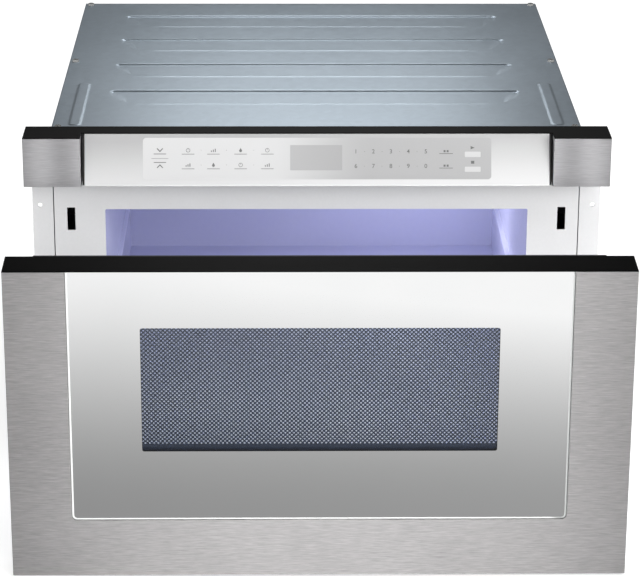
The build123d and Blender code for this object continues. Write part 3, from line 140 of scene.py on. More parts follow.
paint = add(tree, "Mix", {0: grain, 6: linear("#E4E4E4"), 7: linear("#EAEAEA")}, data_type="RGBA")[2]
matt = add(tree, "BsdfDiffuse", {"Color": paint})[0]
glow = add(tree, "Emission", {"Color": (1, 1, 1, 1), "Strength": floor_glow})[0]
lit = add(tree, "AddShader", {0: matt, 1: glow})[0]
# Painted shade for mirrored surfaces only: grey near the oven's front, lighter towards the right, greyer
# again far off.
away = add(tree, "MapRange", {"Value": depth, "From Min": shade_near, "From Max": shade_far,
                              "To Min": 0.0, "To Max": 1.0}, interpolation_type="SMOOTHSTEP")[0]
across = add(tree, "MapRange", {"Value": side, "From Min": left_end, "From Max": right_end,
                                "To Min": 1.0, "To Max": right_painted_light})[0]
shade = add(tree, "MapRange", {"Value": away, "To Min": shade_level, "To Max": 1.0})[0]
painted_shade_far_off = add(tree, "MapRange", {"Value": depth, "From Min": floor_near, "From Max": floor_far,
                                "To Min": 1.0, "To Max": far_painted_shade})[0]
shade = add(tree, "Math", {0: shade, 1: painted_shade_far_off}, operation="MULTIPLY")[0]
shade = add(tree, "Math", {0: shade, 1: across}, operation="MULTIPLY", use_clamp=True)[0]
mirrored = add(tree, "Emission", {"Color": shade, "Strength": 1.0})[0]
plain = add(tree, "MixShader", {0: ray["Is Camera Ray"], 1: matt, 2: lit})[0]
bounced = add(tree, "Math", {0: ray["Is Glossy Ray"], 1: ray["Is Transmission Ray"]},
              operation="MAXIMUM")[0]
both = add(tree, "MixShader", {0: bounced, 1: plain, 2: mirrored})[0]
add(tree, "OutputMaterial", {"Surface": both})
show("floor", floor_mesh, painted_floor)

sky_low, sky_high, sky_high_level = 0.15, 0.75, 0.12
sky_front, sky_back, front_level, back_level = -0.2, 0.7, 0.6, 0.22
sky_light = 0.85
scene.world = bpy.data.worlds.new("white_backdrop")
scene.world.use_nodes = True
tree = scene.world.node_tree
tree.nodes.clear()
ray = add(tree, "LightPath")
heading = add(tree, "SeparateXYZ", {0: add(tree, "TexCoord")["Generated"]})
fall = add(tree, "MapRange", {"Value": heading["Z"], "From Min": sky_low, "From Max": sky_high,
                              "To Min": 1.0, "To Max": sky_high_level}, interpolation_type="SMOOTHSTEP")[0]
behind = add(tree, "MapRange", {"Value": heading["Y"], "From Min": sky_front, "From Max": sky_back,
                                "To Min": front_level, "To Max": back_level},
             interpolation_type="SMOOTHSTEP")[0]
mirrored = add(tree, "Math", {0: fall, 1: behind}, operation="MULTIPLY")[0]
bounced = add(tree, "Math", {0: ray["Is Glossy Ray"], 1: ray["Is Transmission Ray"]},
              operation="MAXIMUM")[0]
plain = add(tree, "MapRange", {"Value": ray["Is Camera Ray"], "To Min": sky_light, "To Max": 1.0})[0]
level = add(tree, "Mix", {0: bounced, 2: plain, 3: mirrored})[0]
sky = add(tree, "Background", {"Color": (1, 1, 1, 1), "Strength": level})[0]
add(tree, "OutputWorld", {"Surface": sky})


def lamp(name, place, target, size, power, mirrored=True):
    """A soft box that faces a point, its width and height, and whether polished surfaces show it."""
    light = bpy.data.lights.new(name, "AREA")
    light.shape = "RECTANGLE"
    light.size, light.size_y = size
    light.energy = power
    box = bpy.data.objects.new(name, light)
    box.location = place
    box.visible_glossy = mirrored
    box.rotation_euler = (Vector(target) - Vector(place)).to_track_quat("-Z", "Y").to_euler()
    scene.collection.objects.link(box)


lamp("front_fill", (1.4, -2.3, 1.2), (0, -0.4, 0.25), (1.0, 1.0), 41, False)
lamp("low_soft_box", (0.06, -2.9, 0.35), (0, -0.5, 0.15), (1.0, 0.5), 22)
lamp("back_soft_box", (0.0, 0.55, 0.85), (0, -0.15, 0.374), (0.5, 0.2), 1.3)
lamp("edge_soft_box", (0.0, -1.2, 2.0), (0, -0.5, 0.3), (1.2, 0.6), 5)

# ---- Sheet metal case
# The floor pan, sides and back are hot-dip galvanised steel, folded and screwed together.
# The zinc gives a soft bluish grey with a fine spangle and slow drifts of shade.
def start(name, colour, metallic=0.0, roughness=0.5):
    """A new material with the plain numbers of its shader."""
    material = bpy.data.materials.new(name)
    material.use_nodes = True
    tree = material.node_tree
    shader = tree.nodes["Principled BSDF"]
    shader.inputs["Base Color"].default_value = linear(colour)
    shader.inputs["Metallic"].default_value = metallic
    shader.inputs["Roughness"].default_value = roughness
    return material, tree, shader


def dress(tree, shader, pattern, colours, roughness, relief):
    """One pattern drives a surface: colour between two shades, roughness, and relief in metres."""
    shade = add(tree, "Mix", {0: pattern, 6: linear(colours[0]), 7: linear(colours[1])},
                data_type="RGBA")[2]
    rough = add(tree, "MapRange", {"Value": pattern, "To Min": roughness[0], "To Max": roughness[1]})[0]
    bump = add(tree, "Bump", {"Height": pattern, "Distance": relief, "Strength": 1.0})[0]
    for value, socket in ((shade, "Base Color"), (rough, "Roughness"), (bump, "Normal")):
        tree.links.new(value, shader.inputs[socket])


def blended(tree, first, second, share):
    """Two patterns laid over each other."""
    return add(tree, "Mix", {0: share, 2: first, 3: second})[0]


def coat(material, *names):
    """Gives solids of the frame a material."""
    for name in names:
        for slot in frame["nodes"][name].material_slots:
            slot.material = material


weld_distance = 0.001 * mm
flat_angle, sharp_angle = radians(0.5), radians(32)


def eased(node, name, width, materials, pick=None, shortest=2.5 * mm, steps=3, reshape=None):
    """A copy of a solid with its long sharp edges rounded, as folding and deburring leave them.
    pick(centre, normal) says which of the materials a face takes, reshape(x, y, z) moves corners."""
    copy = bmesh.new()
    copy.from_mesh(frame["nodes"][node].data)
    bmesh.ops.remove_doubles(copy, verts=copy.verts, dist=weld_distance)
    bmesh.ops.dissolve_limit(copy, angle_limit=flat_angle, verts=copy.verts, edges=copy.edges)
    for vert in copy.verts if reshape else ():
        vert.co = reshape(*vert.co)
    weights = copy.edges.layers.float.new("bevel_weight_edge")
    for edge in copy.edges:
        sharp = len(edge.link_faces) == 2 and edge.calc_face_angle(0) > sharp_angle
        edge.smooth = not sharp
        if sharp and edge.calc_length() > shortest:
            edge[weights] = 1.0
            edge.smooth = True
    for face in copy.faces:
        face.smooth = True
        face.material_index = pick(face.calc_center_median(), face.normal) if pick else 0
    mesh = bpy.data.meshes.new(name)
    copy.to_mesh(mesh)
    copy.free()
    if "custom_normal" in mesh.attributes:
        mesh.attributes.remove(mesh.attributes["custom_normal"])
    piece = show(name, mesh, *materials)
    bevel = piece.modifiers.new("edges", "BEVEL")
    bevel.width = width
    bevel.segments = steps
    bevel.limit_method = "WEIGHT"
    bevel.harden_normals = True
    bevel.miter_outer = "MITER_ARC"
    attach(piece, frame["nodes"][node]["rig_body"])
    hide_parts(node)
    return piece


spangle_size = 7 * mm
grain_size = 0.9 * mm
drift_size = 160 * mm


def zinc(name, dark, light):
    """Hot-dip galvanised steel, by its two shades."""
    material, tree, shader = start(name, light, 1.0, 0.4)
    place = add(tree, "TexCoord")["Object"]
    spangle = add(tree, "TexVoronoi", {"Vector": place, "Scale": 1 / spangle_size})["Color"]
    grain = add(tree, "TexNoise", {"Vector": place, "Scale": 1 / grain_size, "Detail": 3.0})[0]
    drift = add(tree, "TexNoise", {"Vector": place, "Scale": 1 / drift_size, "Detail": 2.0})[0]
    flakes = blended(tree, spangle, grain, 0.6)
    dress(tree, shader, blended(tree, flakes, drift, 0.35), (dark, light), (0.36, 0.5), 0.03 * mm)
    return material


galvanised = zinc("galvanised_steel_sheet", "#97A2AC", "#C2CCD5")
coat(galvanised, "base_pan", "rear_panel", "waveguide", "lamp_housing")

# ---- Painted flanges
# The sides turn out into mounting flanges whose faces are powder coated with the face frame.
# Powder paint is a smooth pale grey with a faint orange-peel ripple.
peel_size = 2.2 * mm
powder_paint, tree, shader = start("pale_powder_paint", "#DFDFDF", 0.0, 0.38)
place = add(tree, "TexCoord")["Object"]
peel = add(tree, "TexNoise", {"Vector": place, "Scale": 1 / peel_size, "Detail": 1.0})[0]
cloud = add(tree, "TexNoise", {"Vector": place, "Scale": 1 / drift_size})[0]
dress(tree, shader, blended(tree, peel, cloud, 0.5), ("#D9D9D9", "#E2E2E2"), (0.34, 0.42), 0.02 * mm)
shader.inputs["Coat Weight"].default_value = 0.15
shader.inputs["Coat Roughness"].default_value = 0.25

front_of_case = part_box("face_frame")[0].y
paint_depth = 0.2 * mm
fold_round, shortest_fold = 0.5 * mm, 6 * mm


def on_front(centre, normal):
    """Painted faces look forwards at the very front of the case."""
    return int(normal.y < -0.9 and centre.y < front_of_case + paint_depth)


for side in ("left", "right"):
    panel = eased(side + "_side_panel", side + "_side_sheet", fold_round, (galvanised, powder_paint),
                  on_front, shortest_fold)

# ---- Top sheet
# One galvanised sheet with four wide stiffening ribs pressed down and two side beads pressed
# up, its front edge rolled down. A rib's long edges are crisp and its ends run out softly.
sheet_low, sheet_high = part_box("top_panel")
lid_thickness, lid_below_strip = 1.0 * mm, 7.1 * mm
lid_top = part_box("control_top_trim")[1].z - lid_below_strip
rib_count, rib_drop = 4, 1.2 * mm
rib_first, rib_pitch, rib_depth = 110.5 * mm, 110 * mm, 50 * mm
rib_half_front, rib_half_back = 205 * mm, 228 * mm
rib_corner, rib_crisp, rib_soft = 9 * mm, 2.0 * mm, 7 * mm
lip_rise, lip_width, lip_fade = 0.3 * mm, 4 * mm, 4 * mm
bead_centre, bead_half, bead_start, bead_end = 254.85 * mm, 7 * mm, 26 * mm, 190 * mm
bead_rise, bead_slope = 0.6 * mm, 2 * mm
roll_radius = 1.0 * mm
coarse_x, fine_x, coarse_y, fine_y = 14 * mm, 1.1 * mm, 9 * mm, 0.55 * mm
bead_span, sheet_span, rib_end, rib_end_span = 4 * mm, 2 * mm, 216 * mm, 15 * mm


def smooth(t):
    """An S-curve from 0 to 1."""
    t = min(max(t, 0.0), 1.0)
    return t * t * (3 - 2 * t)


def inside_corner(across, along, radius):
    """How far a point lies inside two edges that meet in a rounded corner."""
    if across < radius and along < radius:
        return radius - hypot(radius - across, radius - along)
    return min(across, along)


def lid_height(x, y):
    """How high the pressed sheet stands at a point, over its flat."""
    behind = y - front_of_case
    rise = 0.0
    for rib in range(rib_count):
        into = behind - rib_first - rib * rib_pitch
        if 0 < into < rib_depth:
            half = rib_half_front + (rib_half_back - rib_half_front) * into / rib_depth
            near = min(into, rib_depth - into)
            edge = inside_corner(half - abs(x), near, rib_corner)
            width = rib_crisp + (rib_soft - rib_crisp) * smooth(near / (rib_depth / 2))
            rise = -rib_drop * smooth(edge / width)
        elif -lip_width < into <= 0:
            end = smooth((rib_half_front - rib_corner - abs(x)) / lip_fade)
            rise = lip_rise * end * smooth(2 * min(-into, lip_width + into) / lip_width)
    reach = min(behind - bead_start, bead_end - behind)
    edge = inside_corner(bead_half - abs(abs(x) - bead_centre), reach, bead_half)
    return rise + bead_rise * smooth(edge / bead_slope)


def ruled(low, high, coarse, spans, fine):
    """Places of a grid's lines: coarse everywhere, and fine within the spans."""
    lines = {low, high}
    steps = round((high - low) / coarse)
    lines.update(low + (high - low) * i / steps for i in range(1, steps))
    for a, b in spans:
        count = round((b - a) / fine)
        lines.update(a + (b - a) * i / count for i in range(count + 1))
    ordered = []
    for line in sorted(lines):
        if low <= line <= high and (not ordered or line - ordered[-1] > fine / 3):
            ordered.append(line)
    ordered[-1] = high
    return ordered


bead_edge = bead_half - bead_slope / 2
edges_x = [(s * c - h, s * c + h) for s in (-1, 1) for c, h in (
    (bead_centre - bead_edge, bead_span), (bead_centre + bead_edge, bead_span), (rib_end, rib_end_span))]
edges_x += [(sheet_low.x, sheet_low.x + sheet_span), (sheet_high.x - sheet_span, sheet_high.x)]
edges_y = [(sheet_low.y, sheet_low.y + sheet_span)]
for rib in range(rib_count):
    rib_y = front_of_case + rib_first + rib * rib_pitch
    rib_back = rib_y + rib_depth
    edges_y += [(rib_y - lip_width, rib_y + rib_corner), (rib_back - rib_corner, rib_back)]
bead_y = (front_of_case + bead_start, front_of_case + bead_end)
edges_y += [(bead_y[0], bead_y[0] + bead_half), (bead_y[1] - bead_half, bead_y[1])]
lines_x = ruled(sheet_low.x, sheet_high.x, coarse_x, edges_x, fine_x)
lines_y = ruled(sheet_low.y, sheet_high.y, coarse_y, edges_y, fine_y)
points, faces = [], []
for y in lines_y:
    roll_in = max(0.0, sheet_low.y + roll_radius - y)
    drop = roll_radius - (max(roll_radius**2 - roll_in**2, 0.0)) ** 0.5
    points += [(x, y, lid_top + lid_height(x, y) - drop) for x in lines_x]
wide = len(lines_x)
for row in range(len(lines_y) - 1):
    for column in range(wide - 1):
        a = row * wide + column
        faces.append((a, a + 1, a + wide + 1, a + wide))
lid_mesh = bpy.data.meshes.new("top_sheet")
lid_mesh.from_pydata(points, [], faces)
lid_mesh.shade_smooth()
lid = show("top_sheet", lid_mesh, zinc("galvanised_lid_sheet", "#A3B0BB", "#C4D0DA"))
thick = lid.modifiers.new("thickness", "SOLIDIFY")
thick.thickness = lid_thickness
thick.offset = -1.0
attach(lid, "cabinet")
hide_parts("top_panel")

# ---- Case screws
# Zinc-plated pan-head screws with a cross recess. The plating is bright and nearly neutral,
# with small blotches from handling.
plating_size = 1.5 * mm
zinc_plate, tree, shader = start("zinc_plated_screw", "#D4D6D6", 1.0, 0.24)
place = add(tree, "TexCoord")["Object"]
blotch = add(tree, "TexNoise", {"Vector": place, "Scale": 1 / plating_size, "Detail": 3.0})[0]
dress(tree, shader, blotch, ("#BDC0C2", "#E2E3E0"), (0.18, 0.34), 0.02 * mm)
coat(zinc_plate, "case_screws")

# ---- Face frame
# A pressed steel plate round the oven opening, powder coated pale grey, with a latch slot
# on each side. Its outer edges are folded back, so a fine groove shows beside the flanges.
plate_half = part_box("face_frame")[1].x
seam = 1.0 * mm
plate_round, shortest_plate, plate_steps = 0.3 * mm, 3 * mm, 2


def drawn_in(x, y, z):
    """Pulls the plate's outer edges in, for the seam beside the flanges."""
    if abs(x) > plate_half - seam / 2:
        x += -seam if x > 0 else seam
    return x, y, z


face = eased("face_frame", "face_plate", plate_round, (powder_paint,), None, shortest_plate,
             plate_steps, drawn_in)

# ---- Oven cavity
# Spot-welded steel box, sprayed with a violet-grey baked enamel that flows out glossy, as is
# the drawer's tub. A lamp lights it from the right, and a dimmer one the open drawer.
enamel_ripple = 5 * mm
enamel, tree, shader = start("violet_baked_enamel", "#CECFE8", 0.0, 0.24)
place = add(tree, "TexCoord")["Object"]
ripple = add(tree, "TexNoise", {"Vector": place, "Scale": 1 / enamel_ripple, "Detail": 1.0})[0]
cloud = add(tree, "TexNoise", {"Vector": place, "Scale": 1 / drift_size, "Detail": 2.0})[0]
dress(tree, shader, blended(tree, ripple, cloud, 0.6), ("#C6C8E6", "#D0D2EC"), (0.2, 0.3), 0.03 * mm)
shader.inputs["Coat Weight"].default_value = 0.4
shader.inputs["Coat Roughness"].default_value = 0.12
coat(enamel, "oven_cavity", "drawer_tub")

light = bpy.data.lights.new("oven_light", "POINT")
light.energy = 0.47
light.color = (0.975, 0.97, 1.0)
light.shadow_soft_size = 0.05
oven_light = bpy.data.objects.new("oven_light", light)
oven_light.visible_glossy = False
oven_light.location = (0.13, -0.03, 0.2)
scene.collection.objects.link(oven_light)
lamp("drawer_light", (0, -0.36, 0.29), (0, -0.37, 0.1), (0.36, 0.24), 0.25, False)

# ---- Lamp bulb
# A small bulb of blown glass, frosted by etching, in a plain socket beside the cavity. The
# frosted glass glows evenly, as when it is lit.
frost_size = 0.6 * mm
bulb, tree, shader = start("frosted_bulb_glass", "#F4F1E8", 0.0, 0.35)
place = add(tree, "TexCoord")["Object"]
frost = add(tree, "TexNoise", {"Vector": place, "Scale": 1 / frost_size, "Detail": 2.0})[0]
dress(tree, shader, frost, ("#EDE8DC", "#FBFAF5"), (0.3, 0.45), 0.01 * mm)
shader.inputs["Emission Color"].default_value = linear("#FFF6E4")
shader.inputs["Emission Strength"].default_value = 1.2
coat(bulb, "cavity_lamp")

# ---- Moulded plastics of the case
# Black glass-filled nylon, injection moulded with a fine spark-eroded texture that keeps it
# dull, pale polypropylene for the fan and the stirrer's cover, acetal for the moving parts.
spark_size, flow_size = 0.7 * mm, 60 * mm


def moulded(name, dark, light, rough):
    """An injection moulding with a spark-eroded skin, by its two shades."""
    material, tree, shader = start(name, light, 0.0, rough)
    place = add(tree, "TexCoord")["Object"]
    skin = add(tree, "TexNoise", {"Vector": place, "Scale": 1 / spark_size, "Detail": 2.0})[0]
    flow = add(tree, "TexNoise", {"Vector": place, "Scale": 1 / flow_size, "Detail": 2.0})[0]
    spread = (rough - 0.06, rough + 0.08)
    dress(tree, shader, blended(tree, skin, flow, 0.45), (dark, light), spread, 0.04 * mm)
    return material


black_plastic = moulded("black_moulded_nylon", "#161616", "#232323", 0.5)
pale_plastic = moulded("pale_polypropylene", "#DDDAD0", "#ECEAE2", 0.45)
acetal = moulded("acetal_moulding", "#D2CDBF", "#E6E2D6", 0.36)
coat(black_plastic, "control_housing", "fan_duct", "cord_gland", "diode", "drawer_motor",
     "left_latch_switches", "right_latch_switches")
coat(pale_plastic, "fan_blade", "stirrer_cover")
coat(acetal, "drive_rack", "drive_pinion", "left_latch_hook", "right_latch_hook")

# ---- Motors and magnetron
# Pressed cold-rolled steel cans and yokes, and the door's chassis. Rolled steel has fine
# lines along the strip and slight smudges.
strip_lines, line_length, smudge_size = 0.5 * mm, 40 * mm, 25 * mm
rolled, tree, shader = start("cold_rolled_steel", "#A5A9AC", 1.0, 0.36)
place = add(tree, "TexCoord")["Object"]
drawn_out = add(tree, "VectorMath", {0: place, 1: (1 / line_length, 1 / line_length, 1 / strip_lines)},
                operation="MULTIPLY")[0]
lines = add(tree, "TexNoise", {"Vector": drawn_out, "Scale": 1.0, "Detail": 3.0})[0]
smudge = add(tree, "TexNoise", {"Vector": place, "Scale": 1 / smudge_size, "Detail": 3.0})[0]
dress(tree, shader, blended(tree, lines, smudge, 0.5), ("#8F9498", "#B9BDBF"), (0.28, 0.46), 0.02 * mm)
coat(rolled, "fan_motor", "magnetron_case", "stirrer_motor", "door_chassis")

# ---- Aluminium pieces
# The magnetron's fins, the stirrer and the capacitor's can are soft bright aluminium, with
# small scuffs from the press.
scuff_size = 3 * mm
soft_aluminium, tree, shader = start("mill_aluminium", "#D2D4D6", 1.0, 0.3)
place = add(tree, "TexCoord")["Object"]
scuff = add(tree, "TexNoise", {"Vector": place, "Scale": 1 / scuff_size, "Detail": 6.0,
                               "Roughness": 0.7})[0]
dress(tree, shader, scuff, ("#C0C3C6", "#E0E1E2"), (0.22, 0.42), 0.02 * mm)
coat(soft_aluminium, "magnetron_anode", "stirrer_blade", "capacitor")

# ---- Transformer
# A stack of varnished 0.5 mm laminations, and two coils of enamelled copper wire. The
# laminations show as fine dark lines and the wire as close ridges.
lamination_lines, wire_ridges = 1.974 * mm, 3.158 * mm  # drawn coarser than real, to show
wave_period = pi / 10  # of the wave pattern, at a scale of 1
laminated, tree, shader = start("varnished_laminations", "#6D6F73", 1.0, 0.45)
place = add(tree, "TexCoord")["Object"]
stack = add(tree, "TexWave", {"Vector": place, "Scale": wave_period / lamination_lines, "Distortion": 0.6,
                              "Detail": 2.0}, bands_direction="Y")[1]
dress(tree, shader, stack, ("#4A4C50", "#85888C"), (0.38, 0.52), 0.06 * mm)
coat(laminated, "transformer_core")

copper_wire, tree, shader = start("enamelled_copper_wire", "#A2552A", 0.7, 0.3)
place = add(tree, "TexCoord")["Object"]
turns = add(tree, "TexWave", {"Vector": place, "Scale": wave_period / wire_ridges, "Distortion": 0.8,
                              "Detail": 1.0}, bands_direction="Z")[1]
dress(tree, shader, turns, ("#6E3415", "#C06A35"), (0.22, 0.4), 0.3 * mm)
coat(copper_wire, "transformer_windings")

# ---- Circuit boards
# Green solder-masked glass fibre with copper tracks under the mask. The chips and coils on
# them stand proud, so they are told apart by how far they stand off the board.
track_pitch, board_thickness = 2.5 * mm, 1.7 * mm


def board(name, chip_front):
    """A circuit board whose parts stand in front of a depth."""
    material, tree, shader = start(name, "#2C5A34", 0.0, 0.35)
    place = add(tree, "TexCoord")["Object"]
    tracks = add(tree, "TexVoronoi", {"Vector": place, "Scale": 1 / track_pitch},
                 distance="CHEBYCHEV")["Distance"]
    stood = add(tree, "Math", {0: add(tree, "SeparateXYZ", {0: place})["Y"], 1: chip_front},
                operation="LESS_THAN")[0]
    green = add(tree, "Mix", {0: tracks, 6: linear("#214C2A"), 7: linear("#3F7A46")}, data_type="RGBA")[2]
    body = add(tree, "Mix", {0: tracks, 6: linear("#191919"), 7: linear("#2A2A2A")}, data_type="RGBA")[2]
    shade = add(tree, "Mix", {0: stood, 6: green, 7: body}, data_type="RGBA")[2]
    tree.links.new(shade, shader.inputs["Base Color"])
    bump = add(tree, "Bump", {"Height": tracks, "Distance": 0.05 * mm})[0]
    tree.links.new(bump, shader.inputs["Normal"])
    return material


for node in ("control_board", "filter_board"):
    coat(board(node + "_green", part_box(node)[1].y - board_thickness), node)

# ---- Slides and drawer arms
# Zinc-plated cold-formed steel slides with steel balls, wiped with a little grease. Plating
# is bright with a faint blue, duller where grease lies.
wipe_width, wipe_length, grease_size = 2 * mm, 80 * mm, 18 * mm
slide_zinc, tree, shader = start("plated_slide_steel", "#C3C8CC", 1.0, 0.28)
place = add(tree, "TexCoord")["Object"]
along = add(tree, "VectorMath", {0: place, 1: (1 / wipe_width, 1 / wipe_length, 1 / wipe_width)},
            operation="MULTIPLY")[0]
wipe = add(tree, "TexNoise", {"Vector": along, "Scale": 1.0, "Detail": 4.0})[0]
grease = add(tree, "TexNoise", {"Vector": place, "Scale": 1 / grease_size, "Detail": 3.0})[0]
dress(tree, shader, blended(tree, wipe, grease, 0.5), ("#A7ADB2", "#D3D7DA"), (0.2, 0.4), 0.02 * mm)
coat(slide_zinc, "outer_ball_cages", "inner_ball_cages", "latch_springs")
for side in ("left", "right"):
    coat(slide_zinc, side + "_slide_bracket", side + "_slide_outer", side + "_slide_middle",
         side + "_slide_inner", side + "_drawer_arm")

# ---- End blocks of the control panel
# Folded stainless caps, brushed along the width. Brushing leaves short horizontal strokes and stretches
# reflections upright; the soft upright bands near the ends are a painted reflection in the colour.
painted_band_centre, painted_band_pitch = 285 * mm, 46 * mm
stroke_length, stroke_height = 16 * mm, 0.9 * mm  # real strokes are 0.1 mm high, too fine to show
wander_size = 90 * mm
steel_round = 0.7 * mm


def brushed(name, dark, light, drift, painted_bands=0.0):
    """Stainless steel brushed along X, by its two shades, how far they drift over a hand's
    breadth, and how strongly painted upright bands of reflection stand out near the panel's ends."""
    material, tree, shader = start(name, light, 1.0, 0.5)
    place = add(tree, "TexCoord")["Object"]
    long = add(tree, "VectorMath", {0: place, 1: (1 / stroke_length, 1 / stroke_length, 1 / stroke_height)},
               operation="MULTIPLY")[0]
    strokes = add(tree, "TexNoise", {"Vector": long, "Scale": 1.0, "Detail": 4.0, "Roughness": 0.65})[0]
    wander = add(tree, "TexNoise", {"Vector": place, "Scale": 1 / wander_size, "Detail": 2.0})[0]
    strokes = add(tree, "MapRange", {"Value": strokes, "From Min": 0.3, "From Max": 0.7})[0]
    pattern = blended(tree, strokes, wander, drift)
    # Painted reflection: upright bands by distance from the middle, as soft boxes would show near the ends.
    out = add(tree, "Math", {0: add(tree, "SeparateXYZ", {0: place})["X"]}, operation="ABSOLUTE")[0]
    phase = add(tree, "MapRange", {"Value": out, "From Min": painted_band_centre,
                                   "From Max": painted_band_centre + painted_band_pitch,
                                   "To Min": 0.0, "To Max": 2 * pi}, clamp=False)[0]
    swing = add(tree, "Math", {0: phase}, operation="COSINE")[0]
    upright = add(tree, "MapRange", {"Value": swing, "From Min": -1.0, "From Max": 1.0})[0]
    pattern = blended(tree, pattern, upright, painted_bands)
    dress(tree, shader, pattern, (dark, light), (0.46, 0.54), 0.015 * mm)
    shader.inputs["Anisotropic"].default_value = 1.0
    shader.inputs["Anisotropic Rotation"].default_value = 0.25
    tangent = add(tree, "Tangent", direction_type="RADIAL", axis="Z")[0]
    tree.links.new(tangent, shader.inputs["Tangent"])
    return material


block_steel = brushed("brushed_stainless_blocks", "#AAA9AC", "#ECEBED", 0.3, 0.5)
for side in ("left", "right"):
    block = eased(side + "_end_block", side + "_end_cap", steel_round, (block_steel,))

# ---- Black strips
# One strip lies over the control panel and one along the door's top. Both are folded steel
# with a satin black powder coat that mirrors next to nothing.
dust_size, strip_round = 35 * mm, 0.35 * mm


def black_coat(name, dark, light):
    """Satin black powder coat, by its two shades."""
    material, tree, shader = start(name, light, 0.0, 0.4)
    place = add(tree, "TexCoord")["Object"]
    peel = add(tree, "TexNoise", {"Vector": place, "Scale": 1 / peel_size, "Detail": 2.0})[0]
    dust = add(tree, "TexNoise", {"Vector": place, "Scale": 1 / dust_size, "Detail": 4.0})[0]
    dress(tree, shader, blended(tree, peel, dust, 0.5), (dark, light), (0.46, 0.56), 0.02 * mm)
    shader.inputs["Specular IOR Level"].default_value = 0.02
    return material


for node, name, shades in (("control_top_trim", "panel_strip", ("#101010", "#1C1C1C")),
                           ("door_top_trim", "door_strip", ("#050505", "#0C0C0C"))):
    strip = eased(node, name, strip_round, (black_coat("satin_black_" + name, *shades),))

# ---- Control glass
# A toughened pane that leans back, printed silver on its rear face, with ground edges. The touch field, the
# display's window and plain marks for the keys are printed too. The silver is painted darker towards the
# top and towards the left, a painted shade, and the inks are painted lighter or darker left and right of
# the middle.
pane_low, pane_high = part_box("control_glass")
lean_run, pane_height = 18 * mm, pane_high.z - pane_low.z
lean = atan2(lean_run, pane_height)
print_lift, print_relief = 0.04 * mm, 0.002 * mm
flake_size, speck_size = 0.8 * mm, 0.7 * mm
dim_left, dim_right, left_painted_shade = -200 * mm, 100 * mm, 0.22
pane_round, middle_half = 0.9 * mm, 60 * mm
printed_silver, tree, shader = start("silver_printed_glass", "#CFCFCF", 0.25, 0.12)
place = add(tree, "TexCoord")["Object"]
spot = add(tree, "SeparateXYZ", {0: place})
flake = add(tree, "TexNoise", {"Vector": place, "Scale": 1 / flake_size, "Detail": 2.0})[0]
# Painted shade: the silver darkens towards the top, under the black strip, and towards the left.
rise = add(tree, "MapRange", {"Value": spot["Z"], "From Min": pane_low.z, "From Max": pane_high.z,
                              "To Min": 1.0, "To Max": 0.0})[0]
painted_shade_leftwards = add(tree, "MapRange", {"Value": spot["X"], "From Min": dim_left, "From Max": dim_right,
                                   "To Min": left_painted_shade, "To Max": 0.0})[0]
rise = add(tree, "Math", {0: rise, 1: painted_shade_leftwards}, operation="SUBTRACT")[0]
dress(tree, shader, blended(tree, rise, flake, 0.12), ("#B3B3B3", "#E3E3E3"), (0.1, 0.16), print_relief)
shader.inputs["Coat Weight"].default_value = 0.6
shader.inputs["Coat Roughness"].default_value = 0.03
pane = eased("control_glass", "control_pane", pane_round, (printed_silver,))

leaning = Matrix.Translation((0, pane_low.y, pane_low.z)) @ Matrix.Rotation(-lean, 4, "X")


def rounded(x0, x1, y0, y1, radius, steps=6):
    """A rectangle's outline with rounded corners, anticlockwise."""
    outline = []
    for corner, (x, y) in enumerate(((x1 - radius, y0 + radius), (x1 - radius, y1 - radius),
                                     (x0 + radius, y1 - radius), (x0 + radius, y0 + radius))):
        for step in range(steps + 1):
            angle = pi / 2 * (corner - 1 + step / steps)
            outline.append((x + radius * cos(angle), y + radius * sin(angle)))
    return outline


def ring_shape(x, y, radius, line, steps=20):
    """A ring as one outline that goes round and comes back inside."""
    turn = [2 * pi * i / steps for i in range(steps + 1)]
    outer = [(x + radius * cos(a), y + radius * sin(a)) for a in turn]
    inner = [(x + (radius - line) * cos(a), y + (radius - line) * sin(a)) for a in reversed(turn)]
    return outer + inner


def printed(name, outlines, lift, material):
    """Thin raised shapes on the leaning glass, from outlines in millimetres."""
    shape = bmesh.new()
    for outline in outlines:
        thin = [leaning @ Vector((x * mm, -lift, y * mm)) for x, y in outline]
        base = [leaning @ Vector((x * mm, 0.0, y * mm)) for x, y in outline]
        front = [shape.verts.new(p) for p in thin]
        back = [shape.verts.new(p) for p in base]
        for triangle in tessellate_polygon([thin]):
            shape.faces.new([front[i] for i in triangle])
            shape.faces.new([back[i] for i in reversed(triangle)])
        for i in range(len(outline)):
            j = (i + 1) % len(outline)
            shape.faces.new((front[i], front[j], back[j], back[i]))
    bmesh.ops.recalc_face_normals(shape, faces=shape.faces)
    mesh = bpy.data.meshes.new(name)
    shape.to_mesh(mesh)
    shape.free()
    piece = show(name, mesh, material)
    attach(piece, "cabinet")


def screen_print(name, left_ink_and_light, right_ink_and_light, rough=0.2):
    """Ceramic ink fired on glass, by its shades left and right of the panel's middle; the difference
    between them is painted light and shade.
    """
    material, tree, shader = start(name, right_ink_and_light, 0.0, rough)
    place = add(tree, "TexCoord")["Object"]
    out = add(tree, "SeparateXYZ", {0: place})["X"]
    # Painted light and shade: the ink ramps from its left shade to its right shade across the middle.
    across = add(tree, "MapRange", {"Value": out, "From Min": -middle_half, "From Max": middle_half},
                 interpolation_type="SMOOTHSTEP")[0]
    speck = add(tree, "TexNoise", {"Vector": place, "Scale": 1 / speck_size, "Detail": 2.0})[0]
    pattern = blended(tree, across, speck, 0.08)
    dress(tree, shader, pattern, (left_ink_and_light, right_ink_and_light), (rough, rough + 0.06), print_relief)
    shader.inputs["Coat Weight"].default_value = 0.6
    shader.inputs["Coat Roughness"].default_value = 0.03
    return material


